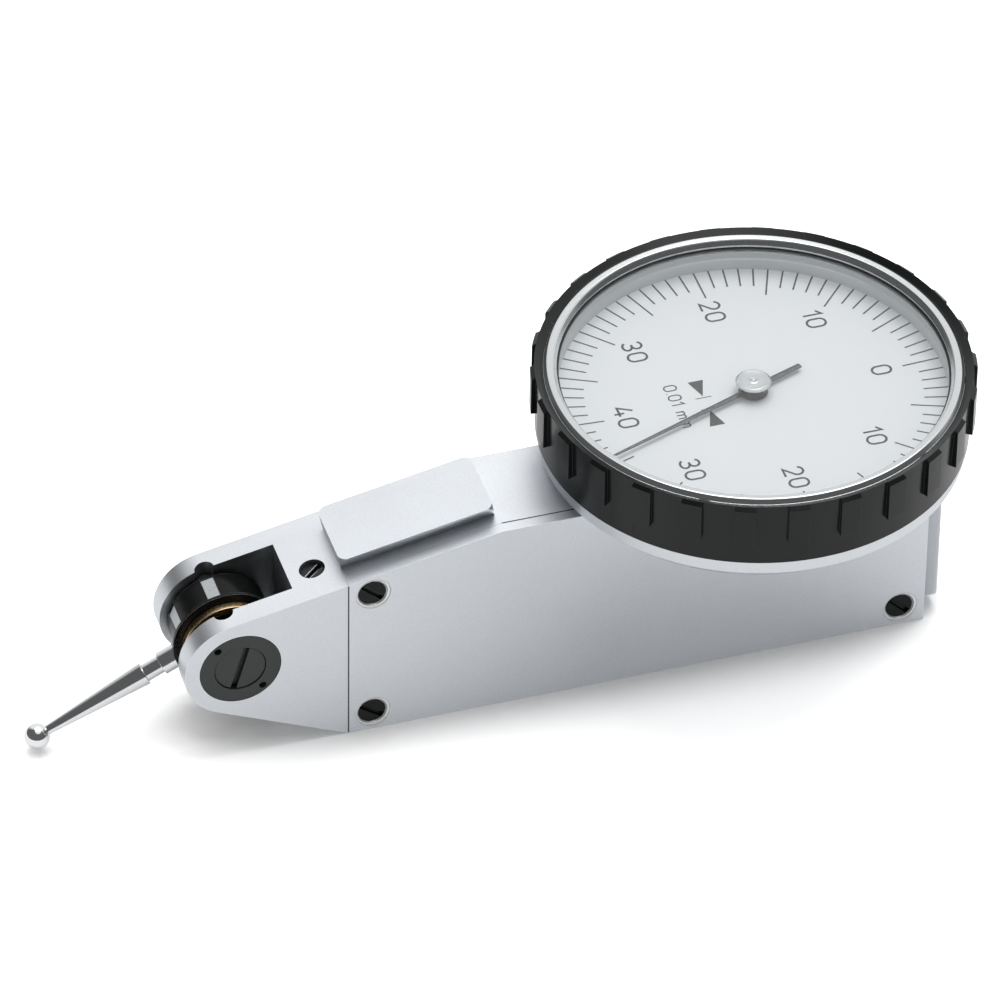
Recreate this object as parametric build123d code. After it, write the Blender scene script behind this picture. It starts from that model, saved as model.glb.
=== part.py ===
from build123d import *
import math
import os

# Lever type dial test indicator, in millimetres.
# The origin is the centre of the flat bottom face. +X runs along the body to the dial end,
# -Y is the side that carries the cover and +Z is the axis of the dial.

# Body block
BODY_LENGTH = 43.8
BODY_HEIGHT = 16.3
BODY_THICKNESS = 8.4
LEVEL_TOP_LENGTH = 32.4
NOSE_RADIUS = 4.1
PIVOT_AHEAD = 8.0
PIVOT_ABOVE_MIDDLE = 0.05
WALL = 1.6
FAR_WALL = 1.0
FORK_WIDTH = 5.0
FORK_DEPTH_BEHIND_PIVOT = 4.35
NOTCH_RADIUS = 0.7
NOTCH_DEPTH = 1.5
NOTCH_AHEAD_OF_PIVOT = 0.75

# Cover and its screws
COVER_THICKNESS = 0.9
SCREW_INSET_X = 1.85
SCREW_INSET_Z = 1.6
COUNTERBORE_RADIUS = 1.3
COVER_HEAD_RADIUS = 1.12
COVER_HEAD_HEIGHT = 0.5
COVER_HEAD_SUNK = 0.1
SCREW_SHANK_RADIUS = 0.7
COVER_SCREW_LENGTH = 3.4
SCREW_SLOT_WIDTH = 0.36
SCREW_SLOT_DEPTH = 0.25
COVER_SLOT_ANGLES = (-42.0, -36.0, -45.0, -20.0)

# Dovetails
DOVETAIL_WIDTH = 6.0
DOVETAIL_HEIGHT = 1.4
DOVETAIL_FLANK = 60.0
DOVETAIL_CORNER = 0.7
REAR_DOVETAIL_INSET = 0.7

# Adjusting screw in the slope
ADJUSTER_RADIUS = 0.95
ADJUSTER_LENGTH = 1.8
ADJUSTER_SUNK = 0.35
ADJUSTER_BEHIND_FORK = 1.8
ADJUSTER_Y = -1.25
ADJUSTER_SLOT_ANGLE = 35.0

# Pivot bearings in the fork
RING_RADIUS = 3.0
PLUG_RADIUS = 1.88
PLUG_SUNK = 0.08
PLUG_SLOT_WIDTH = 0.45
PLUG_SLOT_DEPTH = 0.4
PLUG_SLOT_ANGLE = 74.0
SPANNER_HOLE_RADIUS = 0.26
SPANNER_HOLE_CIRCLE = 2.55
SPANNER_HOLE_ANGLE = 130.0
AXLE_RADIUS = 0.6
AXLE_IN_PLUG = 0.95

# Fits and clearances
RUNNING = 0.03
SLIDE_IN = 0.02
FACE_GAP = 0.05

# Lever
BALL_FROM_PIVOT = 15.45
STYLUS_DROP_ANGLE = 26.3
LEVER_SWING = 1.5
ARM_THICKNESS = 0.8
ARM_ROOT_HEIGHT = 2.0
ARM_TIP_HEIGHT = 1.4
ARM_FROM_FORK = 0.3
ARM_EYE_RADIUS = 2.0
SECTOR_END_SHARE = 0.54
SECTOR_DEPTH = 5.0
SECTOR_TEETH_EACH_SIDE = 3
BUSH_RADIUS = 3.4
BUSH_WALL = 0.4
BUSH_FACE_GAP = 0.15
BUSH_LENGTH = 1.55
COLLAR_RADIUS = 1.5
COLLAR_THICKNESS = 0.22

# Swivelling stylus
FLANGE_RADIUS = 4.0
FLANGE_THICKNESS = 0.25
DRUM_RADIUS = 3.6
DRUM_END_GAP = 0.1
KEY_WIDTH = 0.95
KEY_DEPTH = 0.5
KEY_SUNK = 0.05
KEY_END_MARGIN = 0.2
KEY_MIDDLE_ANGLE = 131.0
KEY_HALF_SPREAD = 29.0
STYLUS_Y = 0.4
SHAFT_RADIUS = 0.85
NECK_RADIUS = 0.65
TIP_RADIUS = 0.33
NECK_START = 5.12
NECK_END = 6.45
SHAFT_INNER_END = 1.6
BALL_RADIUS = 0.95

# Gear train
ARBOR_PINION_RADIUS = 1.5
ARBOR_PINION_TEETH = 12
CROWN_TO_WALL = 1.35
CROWN_TEETH = 48
SPINDLE_PINION_TEETH = 10
PRESSURE_ANGLE = 20.0
BACKLASH_SHARE = 0.12
PINION_TIP_SHARE = 0.85
RACK_TIP_SHARE = 0.55
TOOTH_ROOT_SHARE = 1.2
DIAL_AHEAD_OF_REAR = 12.4
CROWN_WEB = 0.55
CROWN_FACE_WIDTH = 0.8
CROWN_HUB_RADIUS = 0.9
CROWN_HUB_LENGTH = 0.7
CROWN_WINDOW_COUNT = 4
CROWN_SPOKE_WIDTH = 0.9
CROWN_RIM_WIDTH = 0.7
ARBOR_RADIUS = 0.4
ARBOR_PIVOT_RADIUS = 0.16
ARBOR_PIVOT_LENGTH = 0.5
ARBOR_PINION_OVERHANG = 0.12
SPINDLE_RADIUS = 0.35
SPINDLE_PIVOT_RADIUS = 0.15
SPINDLE_PIVOT_LENGTH = 0.6
SPINDLE_PINION_LENGTH = 1.4
JEWEL_RADIUS = 0.6
JEWEL_THICKNESS = 0.5

# Bridge that carries the near ends of the train
BRIDGE_THICKNESS = 0.6
BRIDGE_PILLAR_RADIUS = 0.95
BRIDGE_PILLAR_BEHIND_CROWN = 0.8
BRIDGE_PILLAR_SPREAD = 3.8
FOOT_WIDTH = 2.0
FOOT_TO_PINION = 0.25
FOOT_PAST_AXIS = 0.75
BRIDGE_SCREW_HEAD_RADIUS = 0.8
BRIDGE_SCREW_SHANK_RADIUS = 0.4
BRIDGE_SCREW_HEAD_HEIGHT = 0.3

# Pins beside the arm
STOP_PIN_RADIUS = 0.5
STOP_PIN_AHEAD_OF_CROWN = 4.3
STOP_PIN_MARGIN = 0.06
CENTRING_PIN_RADIUS = 0.45
CENTRING_PIN_FROM_PIVOT = 14.0
PIN_IN_WALL = 0.6
SPRING_BLADE_THICKNESS = 0.15
SPRING_BLADE_WIDTH = 0.7
SPRING_BLADE_LENGTH = 9.0
SPRING_BLOCK_LENGTH = 2.0

# Dial base
CUP_INSIDE_RIBS = 0.6
CUP_CHAMFER = 1.0
CUP_EDGE_HEIGHT = 1.0
CUP_FLOOR = 1.2
SPIGOT_STEP = 1.5
SPIGOT_WALL = 1.2
SPIGOT_HEIGHT = 1.58
CUP_BOSS_RADIUS = 2.6
CUP_BOSS_DEPTH = 1.0
SPINDLE_BUSH_RADIUS = 1.0
CUP_SCREW_CIRCLE = 6.5
CUP_SCREW_HEAD_RADIUS = 1.3
CUP_SCREW_HEAD_HEIGHT = 0.6

# Bezel, crystal and dial
BEZEL_RIB_RADIUS = 16.0
BEZEL_RIB_DEPTH = 0.4
BEZEL_RIB_COUNT = 26
BEZEL_RIB_SHARE = 0.4
BEZEL_SKIRT_HEIGHT = 1.9
BEZEL_BAND_DROP = 0.1
RIB_TOP_DROP = 0.25
BEZEL_LEDGE_THICKNESS = 0.35
BEZEL_LEDGE_WIDTH = 0.6
BEZEL_LIFT = 0.1
LEDGE_OVER_SPIGOT = 0.15
RETAINER_THICKNESS = 0.3
RETAINER_WIDTH = 0.5
RETAINER_PROUD = 0.2
RETAINER_GROOVE_GAP = 0.1
RETAINER_SPLIT = 3.0
DIAL_SEAT_STEP = 0.62
DIAL_PLATE_THICKNESS = 0.4
DIAL_HOLE_RADIUS = 0.9
INNER_RING_HEIGHT = 1.57
INNER_RING_WIDTH = 0.42
CRYSTAL_THICKNESS = 0.65
RIM_INSIDE_RIBS = 0.93
RIM_WIDTH = 0.99
RIM_LIP = 0.68
RIM_INNER_LIP = 0.2
RIM_SLOPE_WIDTH = 0.4
RIM_PROUD = 0.08

# Pointer and hairspring
HAND_ANGLE = -160.0
HAND_TIP_TO_RING = 1.95
HAND_TAIL = 4.3
HAND_ROOT_WIDTH = 0.5
HAND_TIP_WIDTH = 0.16
HAND_TAIL_WIDTH = 0.62
HAND_THICKNESS = 0.12
HAND_ABOVE_DIAL = 0.35
HUB_CAP_RADIUS = 1.17
HUB_CAP_HEIGHT = 0.52
HUB_DIMPLE_RADIUS = 0.35
HAND_BOSS_HEIGHT = 0.2
HAIRSPRING_PITCH = 0.75
HAIRSPRING_HALF_TURNS = 8
HAIRSPRING_STRIP = 0.12
HAIRSPRING_HEIGHT = 0.35
HAIRSPRING_ABOVE_FLOOR = 0.9
COLLET_RADIUS = 0.75
STUD_RADIUS = 0.4

# Places that follow from the sizes above
PIVOT_HEIGHT = BODY_HEIGHT / 2 + PIVOT_ABOVE_MIDDLE
FRONT_X = -BODY_LENGTH / 2
REAR_X = BODY_LENGTH / 2
BEND_X = REAR_X - LEVEL_TOP_LENGTH
PIVOT_X = FRONT_X - PIVOT_AHEAD
NEAR_Y = -BODY_THICKNESS / 2
FAR_Y = BODY_THICKNESS / 2
SEAM_Y = NEAR_Y + COVER_THICKNESS
FORK_Y = FORK_WIDTH / 2
FORK_BACK_X = PIVOT_X + FORK_DEPTH_BEHIND_PIVOT
CAVITY_FRONT_X = FRONT_X + 2 * SCREW_INSET_X
CAVITY_REAR_X = REAR_X - 2 * SCREW_INSET_X
CAVITY_FAR_Y = FAR_Y - FAR_WALL
DIAL_X = REAR_X - DIAL_AHEAD_OF_REAR
DOVETAIL_BASE_WIDTH = DOVETAIL_WIDTH - 2 * DOVETAIL_HEIGHT / math.tan(math.radians(DOVETAIL_FLANK))

SECTOR_MODULE = 2 * ARBOR_PINION_RADIUS / ARBOR_PINION_TEETH
SECTOR_PITCH_RADIUS = DIAL_X - PIVOT_X - ARBOR_PINION_RADIUS
CROWN_OUTER_RADIUS = BODY_HEIGHT / 2 - WALL - CROWN_TO_WALL
CROWN_INNER_RADIUS = CROWN_OUTER_RADIUS - CROWN_FACE_WIDTH
CROWN_PITCH_RADIUS = (CROWN_INNER_RADIUS + CROWN_OUTER_RADIUS) / 2
CROWN_MODULE = 2 * CROWN_PITCH_RADIUS / CROWN_TEETH
SPINDLE_PINION_RADIUS = CROWN_MODULE * SPINDLE_PINION_TEETH / 2
CROWN_MESH_Z = PIVOT_HEIGHT + CROWN_PITCH_RADIUS

ARM_NEAR_Y = -FORK_Y + ARM_FROM_FORK
ARM_FAR_Y = ARM_NEAR_Y + ARM_THICKNESS
BUSH_NEAR_Y = -FORK_Y + BUSH_FACE_GAP
BUSH_FAR_Y = BUSH_NEAR_Y + BUSH_LENGTH
FLANGE_NEAR_Y = BUSH_FAR_Y + FACE_GAP
DRUM_NEAR_Y = FLANGE_NEAR_Y + FLANGE_THICKNESS
COLLAR_FAR_Y = FORK_Y - DRUM_END_GAP
COLLAR_NEAR_Y = COLLAR_FAR_Y - COLLAR_THICKNESS
DRUM_FAR_Y = COLLAR_NEAR_Y - FACE_GAP
AXLE_HALF_LENGTH = FORK_Y + AXLE_IN_PLUG

CUP_RADIUS = BEZEL_RIB_RADIUS - CUP_INSIDE_RIBS
SPIGOT_RADIUS = CUP_RADIUS - SPIGOT_STEP
RIM_RADIUS = BEZEL_RIB_RADIUS - RIM_INSIDE_RIBS
RIM_INNER_RADIUS = RIM_RADIUS - RIM_WIDTH
DIAL_SEAT_RADIUS = RIM_RADIUS - DIAL_SEAT_STEP
INNER_RING_RADIUS = DIAL_SEAT_RADIUS - INNER_RING_WIDTH
HAND_LENGTH = INNER_RING_RADIUS - HAND_TIP_TO_RING
CUP_EDGE_Z = BODY_HEIGHT + CUP_CHAMFER
FLANGE_TOP_Z = CUP_EDGE_Z + CUP_EDGE_HEIGHT
CUP_FLOOR_Z = BODY_HEIGHT + CUP_FLOOR
SPIGOT_TOP_Z = FLANGE_TOP_Z + SPIGOT_HEIGHT
BEZEL_BOTTOM_Z = FLANGE_TOP_Z + BEZEL_LIFT
LEDGE_BOTTOM_Z = SPIGOT_TOP_Z + LEDGE_OVER_SPIGOT
DIAL_BOTTOM_Z = LEDGE_BOTTOM_Z + BEZEL_LEDGE_THICKNESS
DIAL_FACE_Z = DIAL_BOTTOM_Z + DIAL_PLATE_THICKNESS
CRYSTAL_BOTTOM_Z = DIAL_FACE_Z + INNER_RING_HEIGHT
CRYSTAL_TOP_Z = CRYSTAL_BOTTOM_Z + CRYSTAL_THICKNESS
RIM_TOP_Z = CRYSTAL_TOP_Z + RIM_LIP
BEZEL_TOP_Z = RIM_TOP_Z - RIM_PROUD
BEZEL_BODY_RADIUS = BEZEL_RIB_RADIUS - BEZEL_RIB_DEPTH
RIB_BOTTOM_Z = BEZEL_BOTTOM_Z + BEZEL_SKIRT_HEIGHT
BAND_EDGE_Z = BEZEL_TOP_Z - BEZEL_BAND_DROP
RIB_TOP_Z = BAND_EDGE_Z - RIB_TOP_DROP
RETAINER_Z = (FLANGE_TOP_Z + SPIGOT_TOP_Z) / 2
HAND_Z = DIAL_FACE_Z + HAND_ABOVE_DIAL
HAIRSPRING_Z = CUP_FLOOR_Z + HAIRSPRING_ABOVE_FLOOR

BRIDGE_NEAR_Y = SEAM_Y + FACE_GAP
BRIDGE_FAR_Y = BRIDGE_NEAR_Y + BRIDGE_THICKNESS
BRIDGE_PILLAR_X = DIAL_X + CROWN_OUTER_RADIUS + BRIDGE_PILLAR_BEHIND_CROWN
ARBOR_PINION_TIP_RADIUS = ARBOR_PINION_RADIUS + PINION_TIP_SHARE * SECTOR_MODULE
FOOT_BOTTOM_Z = PIVOT_HEIGHT + ARBOR_PINION_TIP_RADIUS + FOOT_TO_PINION
FOOT_TOP_Z = CROWN_MESH_Z - SPINDLE_PINION_LENGTH / 2 - FOOT_TO_PINION
FOOT_MIDDLE_Z = (FOOT_BOTTOM_Z + FOOT_TOP_Z) / 2
CENTRING_PIN_X = PIVOT_X + CENTRING_PIN_FROM_PIVOT
STOP_PIN_X = DIAL_X - CROWN_OUTER_RADIUS - STOP_PIN_AHEAD_OF_CROWN
STOP_PIN_FROM_PIVOT = STOP_PIN_X - PIVOT_X


# Helpers

def tangent_point(point, side):
    """Where the line from an outside point touches the nose circle, above (1) or below (-1)."""
    dx = point[0] - PIVOT_X
    dz = point[1] - PIVOT_HEIGHT
    angle = math.atan2(dz, dx) + side * math.acos(NOSE_RADIUS / math.hypot(dx, dz))
    return (PIVOT_X + NOSE_RADIUS * math.cos(angle), PIVOT_HEIGHT + NOSE_RADIUS * math.sin(angle))


NOSE_TOP = tangent_point((BEND_X, BODY_HEIGHT), 1)
NOSE_LOW = tangent_point((FRONT_X, 0.0), -1)
SLOPE = math.atan2(BODY_HEIGHT - NOSE_TOP[1], BEND_X - NOSE_TOP[0])


def slope_z(x):
    """Height of the sloping top face at x."""
    return BODY_HEIGHT - (BEND_X - x) * math.tan(SLOPE)


def between_y(sketch, y_low, y_high):
    """Solid with an outline drawn in x and z, from y_low to y_high."""
    return Pos(0, y_low, 0) * extrude(Plane.XZ * sketch, amount=y_low - y_high)


def turned(profile):
    """Solid turned about Z from a closed outline of (radius, height) points."""
    outline = Polyline(*[(radius, 0, height) for radius, height in profile], close=True)
    return revolve(make_face(outline), Axis.Z)


def facing_near(x, y, z):
    """Plane whose local Z points to the near side and whose local Y points up."""
    return Plane(origin=(x, y, z), x_dir=(1, 0, 0), z_dir=(0, -1, 0))


def facing_far(x, y, z):
    """Plane whose local Z points to the far side and whose local Y points up."""
    return Plane(origin=(x, y, z), x_dir=(-1, 0, 0), z_dir=(0, 1, 0))


def rod_y(radius, x, z, y_low, y_high):
    """Round bar along Y."""
    return facing_far(x, y_low, z) * extrude(Circle(radius), amount=y_high - y_low)


def rod_z(radius, z_low, z_high, x=DIAL_X, y=0.0):
    """Round bar along Z."""
    return Pos(x, y, z_low) * extrude(Circle(radius), amount=z_high - z_low)


def slotted_screw(head_radius, head_height, shank_radius, shank_length, slot_angle, slot_depth):
    """Slotted cheese-head screw with its head's top at z 0 and its shank running down."""
    screw = turned([
        (0, 0),
        (head_radius, 0),
        (head_radius, -head_height),
        (shank_radius, -head_height),
        (shank_radius, -head_height - shank_length),
        (0, -head_height - shank_length),
    ])
    slot = Box(3 * head_radius, SCREW_SLOT_WIDTH, 2 * slot_depth)
    return screw - Rot(0, 0, slot_angle) * slot


def involute_tooth(pitch_radius, module):
    """One side of a pinion tooth, as (radius, angle from the tooth's middle), root to tip."""
    pressure = math.radians(PRESSURE_ANGLE)
    base = pitch_radius * math.cos(pressure)
    tip = pitch_radius + PINION_TIP_SHARE * module
    root = pitch_radius - TOOTH_ROOT_SHARE * module
    half = (math.pi / 4 - BACKLASH_SHARE) * module / pitch_radius

    def angle_at(radius):
        local = math.acos(min(1.0, base / radius))
        return half + (math.tan(pressure) - pressure) - (math.tan(local) - local)

    radii = [root, base, (base + tip) / 2, tip]
    return [(radius, angle_at(max(radius, base))) for radius in radii]


def pinion_outline(teeth, module, first_angle):
    """Closed outline of a pinion whose first tooth points along first_angle in degrees."""
    side = involute_tooth(module * teeth / 2, module)
    points = []
    for index in range(teeth):
        middle = math.radians(first_angle) + 2 * math.pi * index / teeth
        for radius, angle in side:
            points.append((radius * math.cos(middle - angle), radius * math.sin(middle - angle)))
        for radius, angle in reversed(side):
            points.append((radius * math.cos(middle + angle), radius * math.sin(middle + angle)))
    return make_face(Polyline(*points, close=True))


def rack_half_widths(module):
    """Half widths of a straight-sided tooth at its tip and at its root."""
    half = (math.pi / 4 - BACKLASH_SHARE) * module
    flare = math.tan(math.radians(PRESSURE_ANGLE))
    return (half - RACK_TIP_SHARE * module * flare, half + TOOTH_ROOT_SHARE * module * flare)


# Body block, cover and screws

def body_outline():
    """Side view of the whole body, in x and z."""
    low = Vector(*NOSE_LOW)
    top = Vector(*NOSE_TOP)
    straight = Polyline(
        low, (FRONT_X, 0), (REAR_X, 0), (REAR_X, BODY_HEIGHT), (BEND_X, BODY_HEIGHT), top
    )
    nose = ThreePointArc(top, (PIVOT_X - NOSE_RADIUS, PIVOT_HEIGHT), low)
    return make_face(straight + nose)


def cavity_outline():
    """Side view of the space for the movement."""
    roof = slope_z(CAVITY_FRONT_X) - WALL / math.cos(SLOPE)
    corners = Polyline(
        (CAVITY_FRONT_X, WALL),
        (CAVITY_REAR_X, WALL),
        (CAVITY_REAR_X, BODY_HEIGHT - WALL),
        (BEND_X, BODY_HEIGHT - WALL),
        (CAVITY_FRONT_X, roof),
        close=True,
    )
    return make_face(corners)


def cover_screw_places():
    """Centres of the four cover screws, in x and z."""
    front = FRONT_X + SCREW_INSET_X
    rear = REAR_X - SCREW_INSET_X
    return [
        (front, slope_z(front) - SCREW_INSET_Z),
        (front, SCREW_INSET_Z),
        (rear, SCREW_INSET_Z),
        (rear, BODY_HEIGHT - SCREW_INSET_Z),
    ]


def dovetail(length):
    """Dovetail along local X from 0 to length, standing on local z 0."""
    section = Polyline(
        (0, -DOVETAIL_BASE_WIDTH / 2, 0),
        (0, DOVETAIL_BASE_WIDTH / 2, 0),
        (0, DOVETAIL_WIDTH / 2, DOVETAIL_HEIGHT),
        (0, -DOVETAIL_WIDTH / 2, DOVETAIL_HEIGHT),
        close=True,
    )
    bar = extrude(make_face(section), amount=length, dir=(1, 0, 0))
    plan = RectangleRounded(length, DOVETAIL_WIDTH, DOVETAIL_CORNER)
    envelope = Pos(length / 2, 0, 0) * extrude(plan, amount=DOVETAIL_HEIGHT)
    return bar & envelope


def slope_plane(x, y=0.0):
    """Plane on the sloping top, local X up the slope and local Z square to it."""
    return Plane(
        origin=(x, y, slope_z(x)),
        x_dir=(math.cos(SLOPE), 0, math.sin(SLOPE)),
        z_dir=(-math.sin(SLOPE), 0, math.cos(SLOPE)),
    )


def adjuster_plane():
    """Where the adjusting screw enters the slope between the fork and the dovetail."""
    return slope_plane(FORK_BACK_X + ADJUSTER_BEHIND_FORK, ADJUSTER_Y)


def arm_channel():
    """Passage for the lever's arm from the fork to the movement's space."""
    swing = math.tan(math.radians(LEVER_SWING)) * (CAVITY_FRONT_X - PIVOT_X)
    height = ARM_ROOT_HEIGHT + 2 * (swing + BUSH_FACE_GAP)
    length = CAVITY_FRONT_X - FORK_BACK_X
    near = ARM_NEAR_Y - BUSH_FACE_GAP
    far = ARM_FAR_Y + BUSH_FACE_GAP
    passage = Box(length, far - near, height)
    return Pos((FORK_BACK_X + CAVITY_FRONT_X) / 2, (near + far) / 2, PIVOT_HEIGHT) * passage


def make_body_casing():
    casing = between_y(body_outline(), NEAR_Y, FAR_Y)
    slope_length = (BEND_X - FRONT_X) / math.cos(SLOPE)
    casing += slope_plane(FRONT_X) * dovetail(slope_length)
    rear_face = Plane(
        origin=(REAR_X, 0, REAR_DOVETAIL_INSET), x_dir=(0, 0, 1), z_dir=(1, 0, 0)
    )
    casing += rear_face * dovetail(BODY_HEIGHT - 2 * REAR_DOVETAIL_INSET)

    cover_space = Polyline(
        (FRONT_X, -WALL),
        (REAR_X + WALL, -WALL),
        (REAR_X + WALL, BODY_HEIGHT + WALL),
        (FRONT_X, BODY_HEIGHT + WALL),
        close=True,
    )
    casing -= between_y(make_face(cover_space), NEAR_Y - WALL, SEAM_Y)

    fork_length = FORK_BACK_X - PIVOT_X + 2 * NOSE_RADIUS
    fork = Box(fork_length, FORK_WIDTH, 2 * BODY_HEIGHT)
    casing -= Pos(FORK_BACK_X - fork_length / 2, 0, BODY_HEIGHT / 2) * fork
    casing -= rod_y(RING_RADIUS + SLIDE_IN, PIVOT_X, PIVOT_HEIGHT, NEAR_Y, FAR_Y)
    notch_x = PIVOT_X - NOTCH_AHEAD_OF_PIVOT
    notch_floor = NOSE_TOP[1] - NOTCH_DEPTH
    for side in (-1, 1):
        casing -= rod_z(NOTCH_RADIUS, notch_floor, BODY_HEIGHT, notch_x, side * FORK_Y)

    casing -= between_y(cavity_outline(), SEAM_Y, CAVITY_FAR_Y)
    casing -= arm_channel()
    casing -= rod_z(CUP_BOSS_RADIUS + SLIDE_IN, BODY_HEIGHT - WALL, BODY_HEIGHT)
    for x, z in cover_screw_places():
        depth = COVER_SCREW_LENGTH - COVER_THICKNESS
        casing -= rod_y(SCREW_SHANK_RADIUS, x, z, SEAM_Y, SEAM_Y + depth)
    for x in cup_screw_places():
        casing -= rod_z(SCREW_SHANK_RADIUS, BODY_HEIGHT - WALL, BODY_HEIGHT, x)
    adjuster_hole = extrude(Circle(ADJUSTER_RADIUS), amount=-ADJUSTER_SUNK - ADJUSTER_LENGTH)
    casing -= adjuster_plane() * adjuster_hole
    for x, z, radius in wall_pin_places():
        casing -= rod_y(radius, x, z, CAVITY_FAR_Y, CAVITY_FAR_Y + PIN_IN_WALL)
    casing -= rod_y(JEWEL_RADIUS, DIAL_X, PIVOT_HEIGHT, CAVITY_FAR_Y, CAVITY_FAR_Y + JEWEL_THICKNESS)
    return casing


def make_side_cover():
    face_area = Polyline(
        (FRONT_X, -WALL),
        (REAR_X + WALL, -WALL),
        (REAR_X + WALL, BODY_HEIGHT + WALL),
        (FRONT_X, BODY_HEIGHT + WALL),
        close=True,
    )
    cover = between_y(body_outline() & make_face(face_area), NEAR_Y, SEAM_Y)
    for x, z in cover_screw_places():
        head_floor = NEAR_Y + COVER_HEAD_SUNK + COVER_HEAD_HEIGHT
        cover -= rod_y(COUNTERBORE_RADIUS, x, z, NEAR_Y, head_floor)
        cover -= rod_y(SCREW_SHANK_RADIUS + SLIDE_IN, x, z, NEAR_Y, SEAM_Y)
    return cover


def make_cover_screw(index):
    x, z = cover_screw_places()[index]
    length = COVER_SCREW_LENGTH - COVER_HEAD_SUNK - COVER_HEAD_HEIGHT
    screw = slotted_screw(
        COVER_HEAD_RADIUS,
        COVER_HEAD_HEIGHT,
        SCREW_SHANK_RADIUS,
        length,
        COVER_SLOT_ANGLES[index],
        SCREW_SLOT_DEPTH,
    )
    return facing_near(x, NEAR_Y + COVER_HEAD_SUNK, z) * screw


def make_adjusting_screw():
    screw = Pos(0, 0, -ADJUSTER_SUNK) * extrude(Circle(ADJUSTER_RADIUS), amount=-ADJUSTER_LENGTH)
    slot = Box(4 * ADJUSTER_RADIUS, SCREW_SLOT_WIDTH, 2 * PLUG_SLOT_DEPTH)
    screw -= Pos(0, 0, -ADJUSTER_SUNK) * Rot(0, 0, ADJUSTER_SLOT_ANGLE) * slot
    return adjuster_plane() * screw


# Pivot bearings

def fork_side_plane(side):
    """Outer face of the fork at the pivot, near (-1) or far (1), looking outward."""
    if side < 0:
        return facing_near(PIVOT_X, NEAR_Y, PIVOT_HEIGHT)
    return facing_far(PIVOT_X, FAR_Y, PIVOT_HEIGHT)


def make_pivot_ring(side):
    depth = FAR_Y - FORK_Y - FACE_GAP
    ring = extrude(Circle(RING_RADIUS) - Circle(PLUG_RADIUS + SLIDE_IN), amount=-depth)
    for turn in (0, 180):
        spot = Rot(0, 0, SPANNER_HOLE_ANGLE + turn) * Pos(SPANNER_HOLE_CIRCLE, 0, 0)
        ring -= spot * extrude(Circle(SPANNER_HOLE_RADIUS), amount=-PLUG_SLOT_DEPTH)
    return fork_side_plane(side) * ring


def make_pivot_plug(side):
    depth = FAR_Y - FORK_Y - PLUG_SUNK - FACE_GAP
    plug = extrude(Circle(PLUG_RADIUS), amount=-depth)
    bore_depth = AXLE_IN_PLUG + RUNNING
    plug -= Pos(0, 0, -depth) * extrude(Circle(AXLE_RADIUS + RUNNING), amount=bore_depth)
    slot = Box(4 * PLUG_RADIUS, PLUG_SLOT_WIDTH, 2 * PLUG_SLOT_DEPTH)
    plug -= Rot(0, 0, PLUG_SLOT_ANGLE) * slot
    return fork_side_plane(side) * Pos(0, 0, -PLUG_SUNK) * plug


# Lever

def lever_plane(y):
    """Plane across the lever at y, local X towards the dial and local Y down."""
    return Plane(origin=(PIVOT_X, y, PIVOT_HEIGHT), x_dir=(1, 0, 0), z_dir=(0, 1, 0))


def make_pivot_axle():
    axle = rod_y(AXLE_RADIUS, PIVOT_X, PIVOT_HEIGHT, -AXLE_HALF_LENGTH, AXLE_HALF_LENGTH)
    return chamfer(axle.edges(), AXLE_RADIUS / 2)


def make_axle_collar():
    ring = Circle(COLLAR_RADIUS) - Circle(AXLE_RADIUS)
    return lever_plane(COLLAR_NEAR_Y) * extrude(ring, amount=COLLAR_THICKNESS)


def make_friction_bush():
    socket_depth = ARM_FAR_Y - BUSH_NEAR_Y
    socket_radius = ARM_EYE_RADIUS + BUSH_WALL
    socket = extrude(Circle(socket_radius) - Circle(ARM_EYE_RADIUS), amount=socket_depth)
    socket -= Pos(socket_radius, 0, 0) * Box(2 * socket_radius, ARM_ROOT_HEIGHT, 2 * socket_depth)
    disc = extrude(Circle(BUSH_RADIUS) - Circle(AXLE_RADIUS), amount=BUSH_LENGTH - socket_depth)
    return lever_plane(BUSH_NEAR_Y) * (socket + Pos(0, 0, socket_depth) * disc)


def sector_outline():
    """Toothed end of the arm, in a plane centred on the pivot with X towards the dial."""
    pitch = SECTOR_MODULE * math.pi / SECTOR_PITCH_RADIUS
    root = SECTOR_PITCH_RADIUS - TOOTH_ROOT_SHARE * SECTOR_MODULE
    tip = SECTOR_PITCH_RADIUS + RACK_TIP_SHARE * SECTOR_MODULE
    tip_half, root_half = rack_half_widths(SECTOR_MODULE)
    edge = (SECTOR_TEETH_EACH_SIDE + SECTOR_END_SHARE) * pitch
    points = [(root * math.cos(edge), -root * math.sin(edge))]
    for index in range(-SECTOR_TEETH_EACH_SIDE, SECTOR_TEETH_EACH_SIDE + 1):
        middle = index * pitch
        for radius, half in ((root, -root_half), (tip, -tip_half), (tip, tip_half), (root, root_half)):
            angle = middle + half / SECTOR_PITCH_RADIUS
            points.append((radius * math.cos(angle), radius * math.sin(angle)))
    points.append((root * math.cos(edge), root * math.sin(edge)))
    inner = root - SECTOR_DEPTH
    points.append((inner, ARM_TIP_HEIGHT / 2))
    points.append((inner, -ARM_TIP_HEIGHT / 2))
    return make_face(Polyline(*points, close=True))


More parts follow.
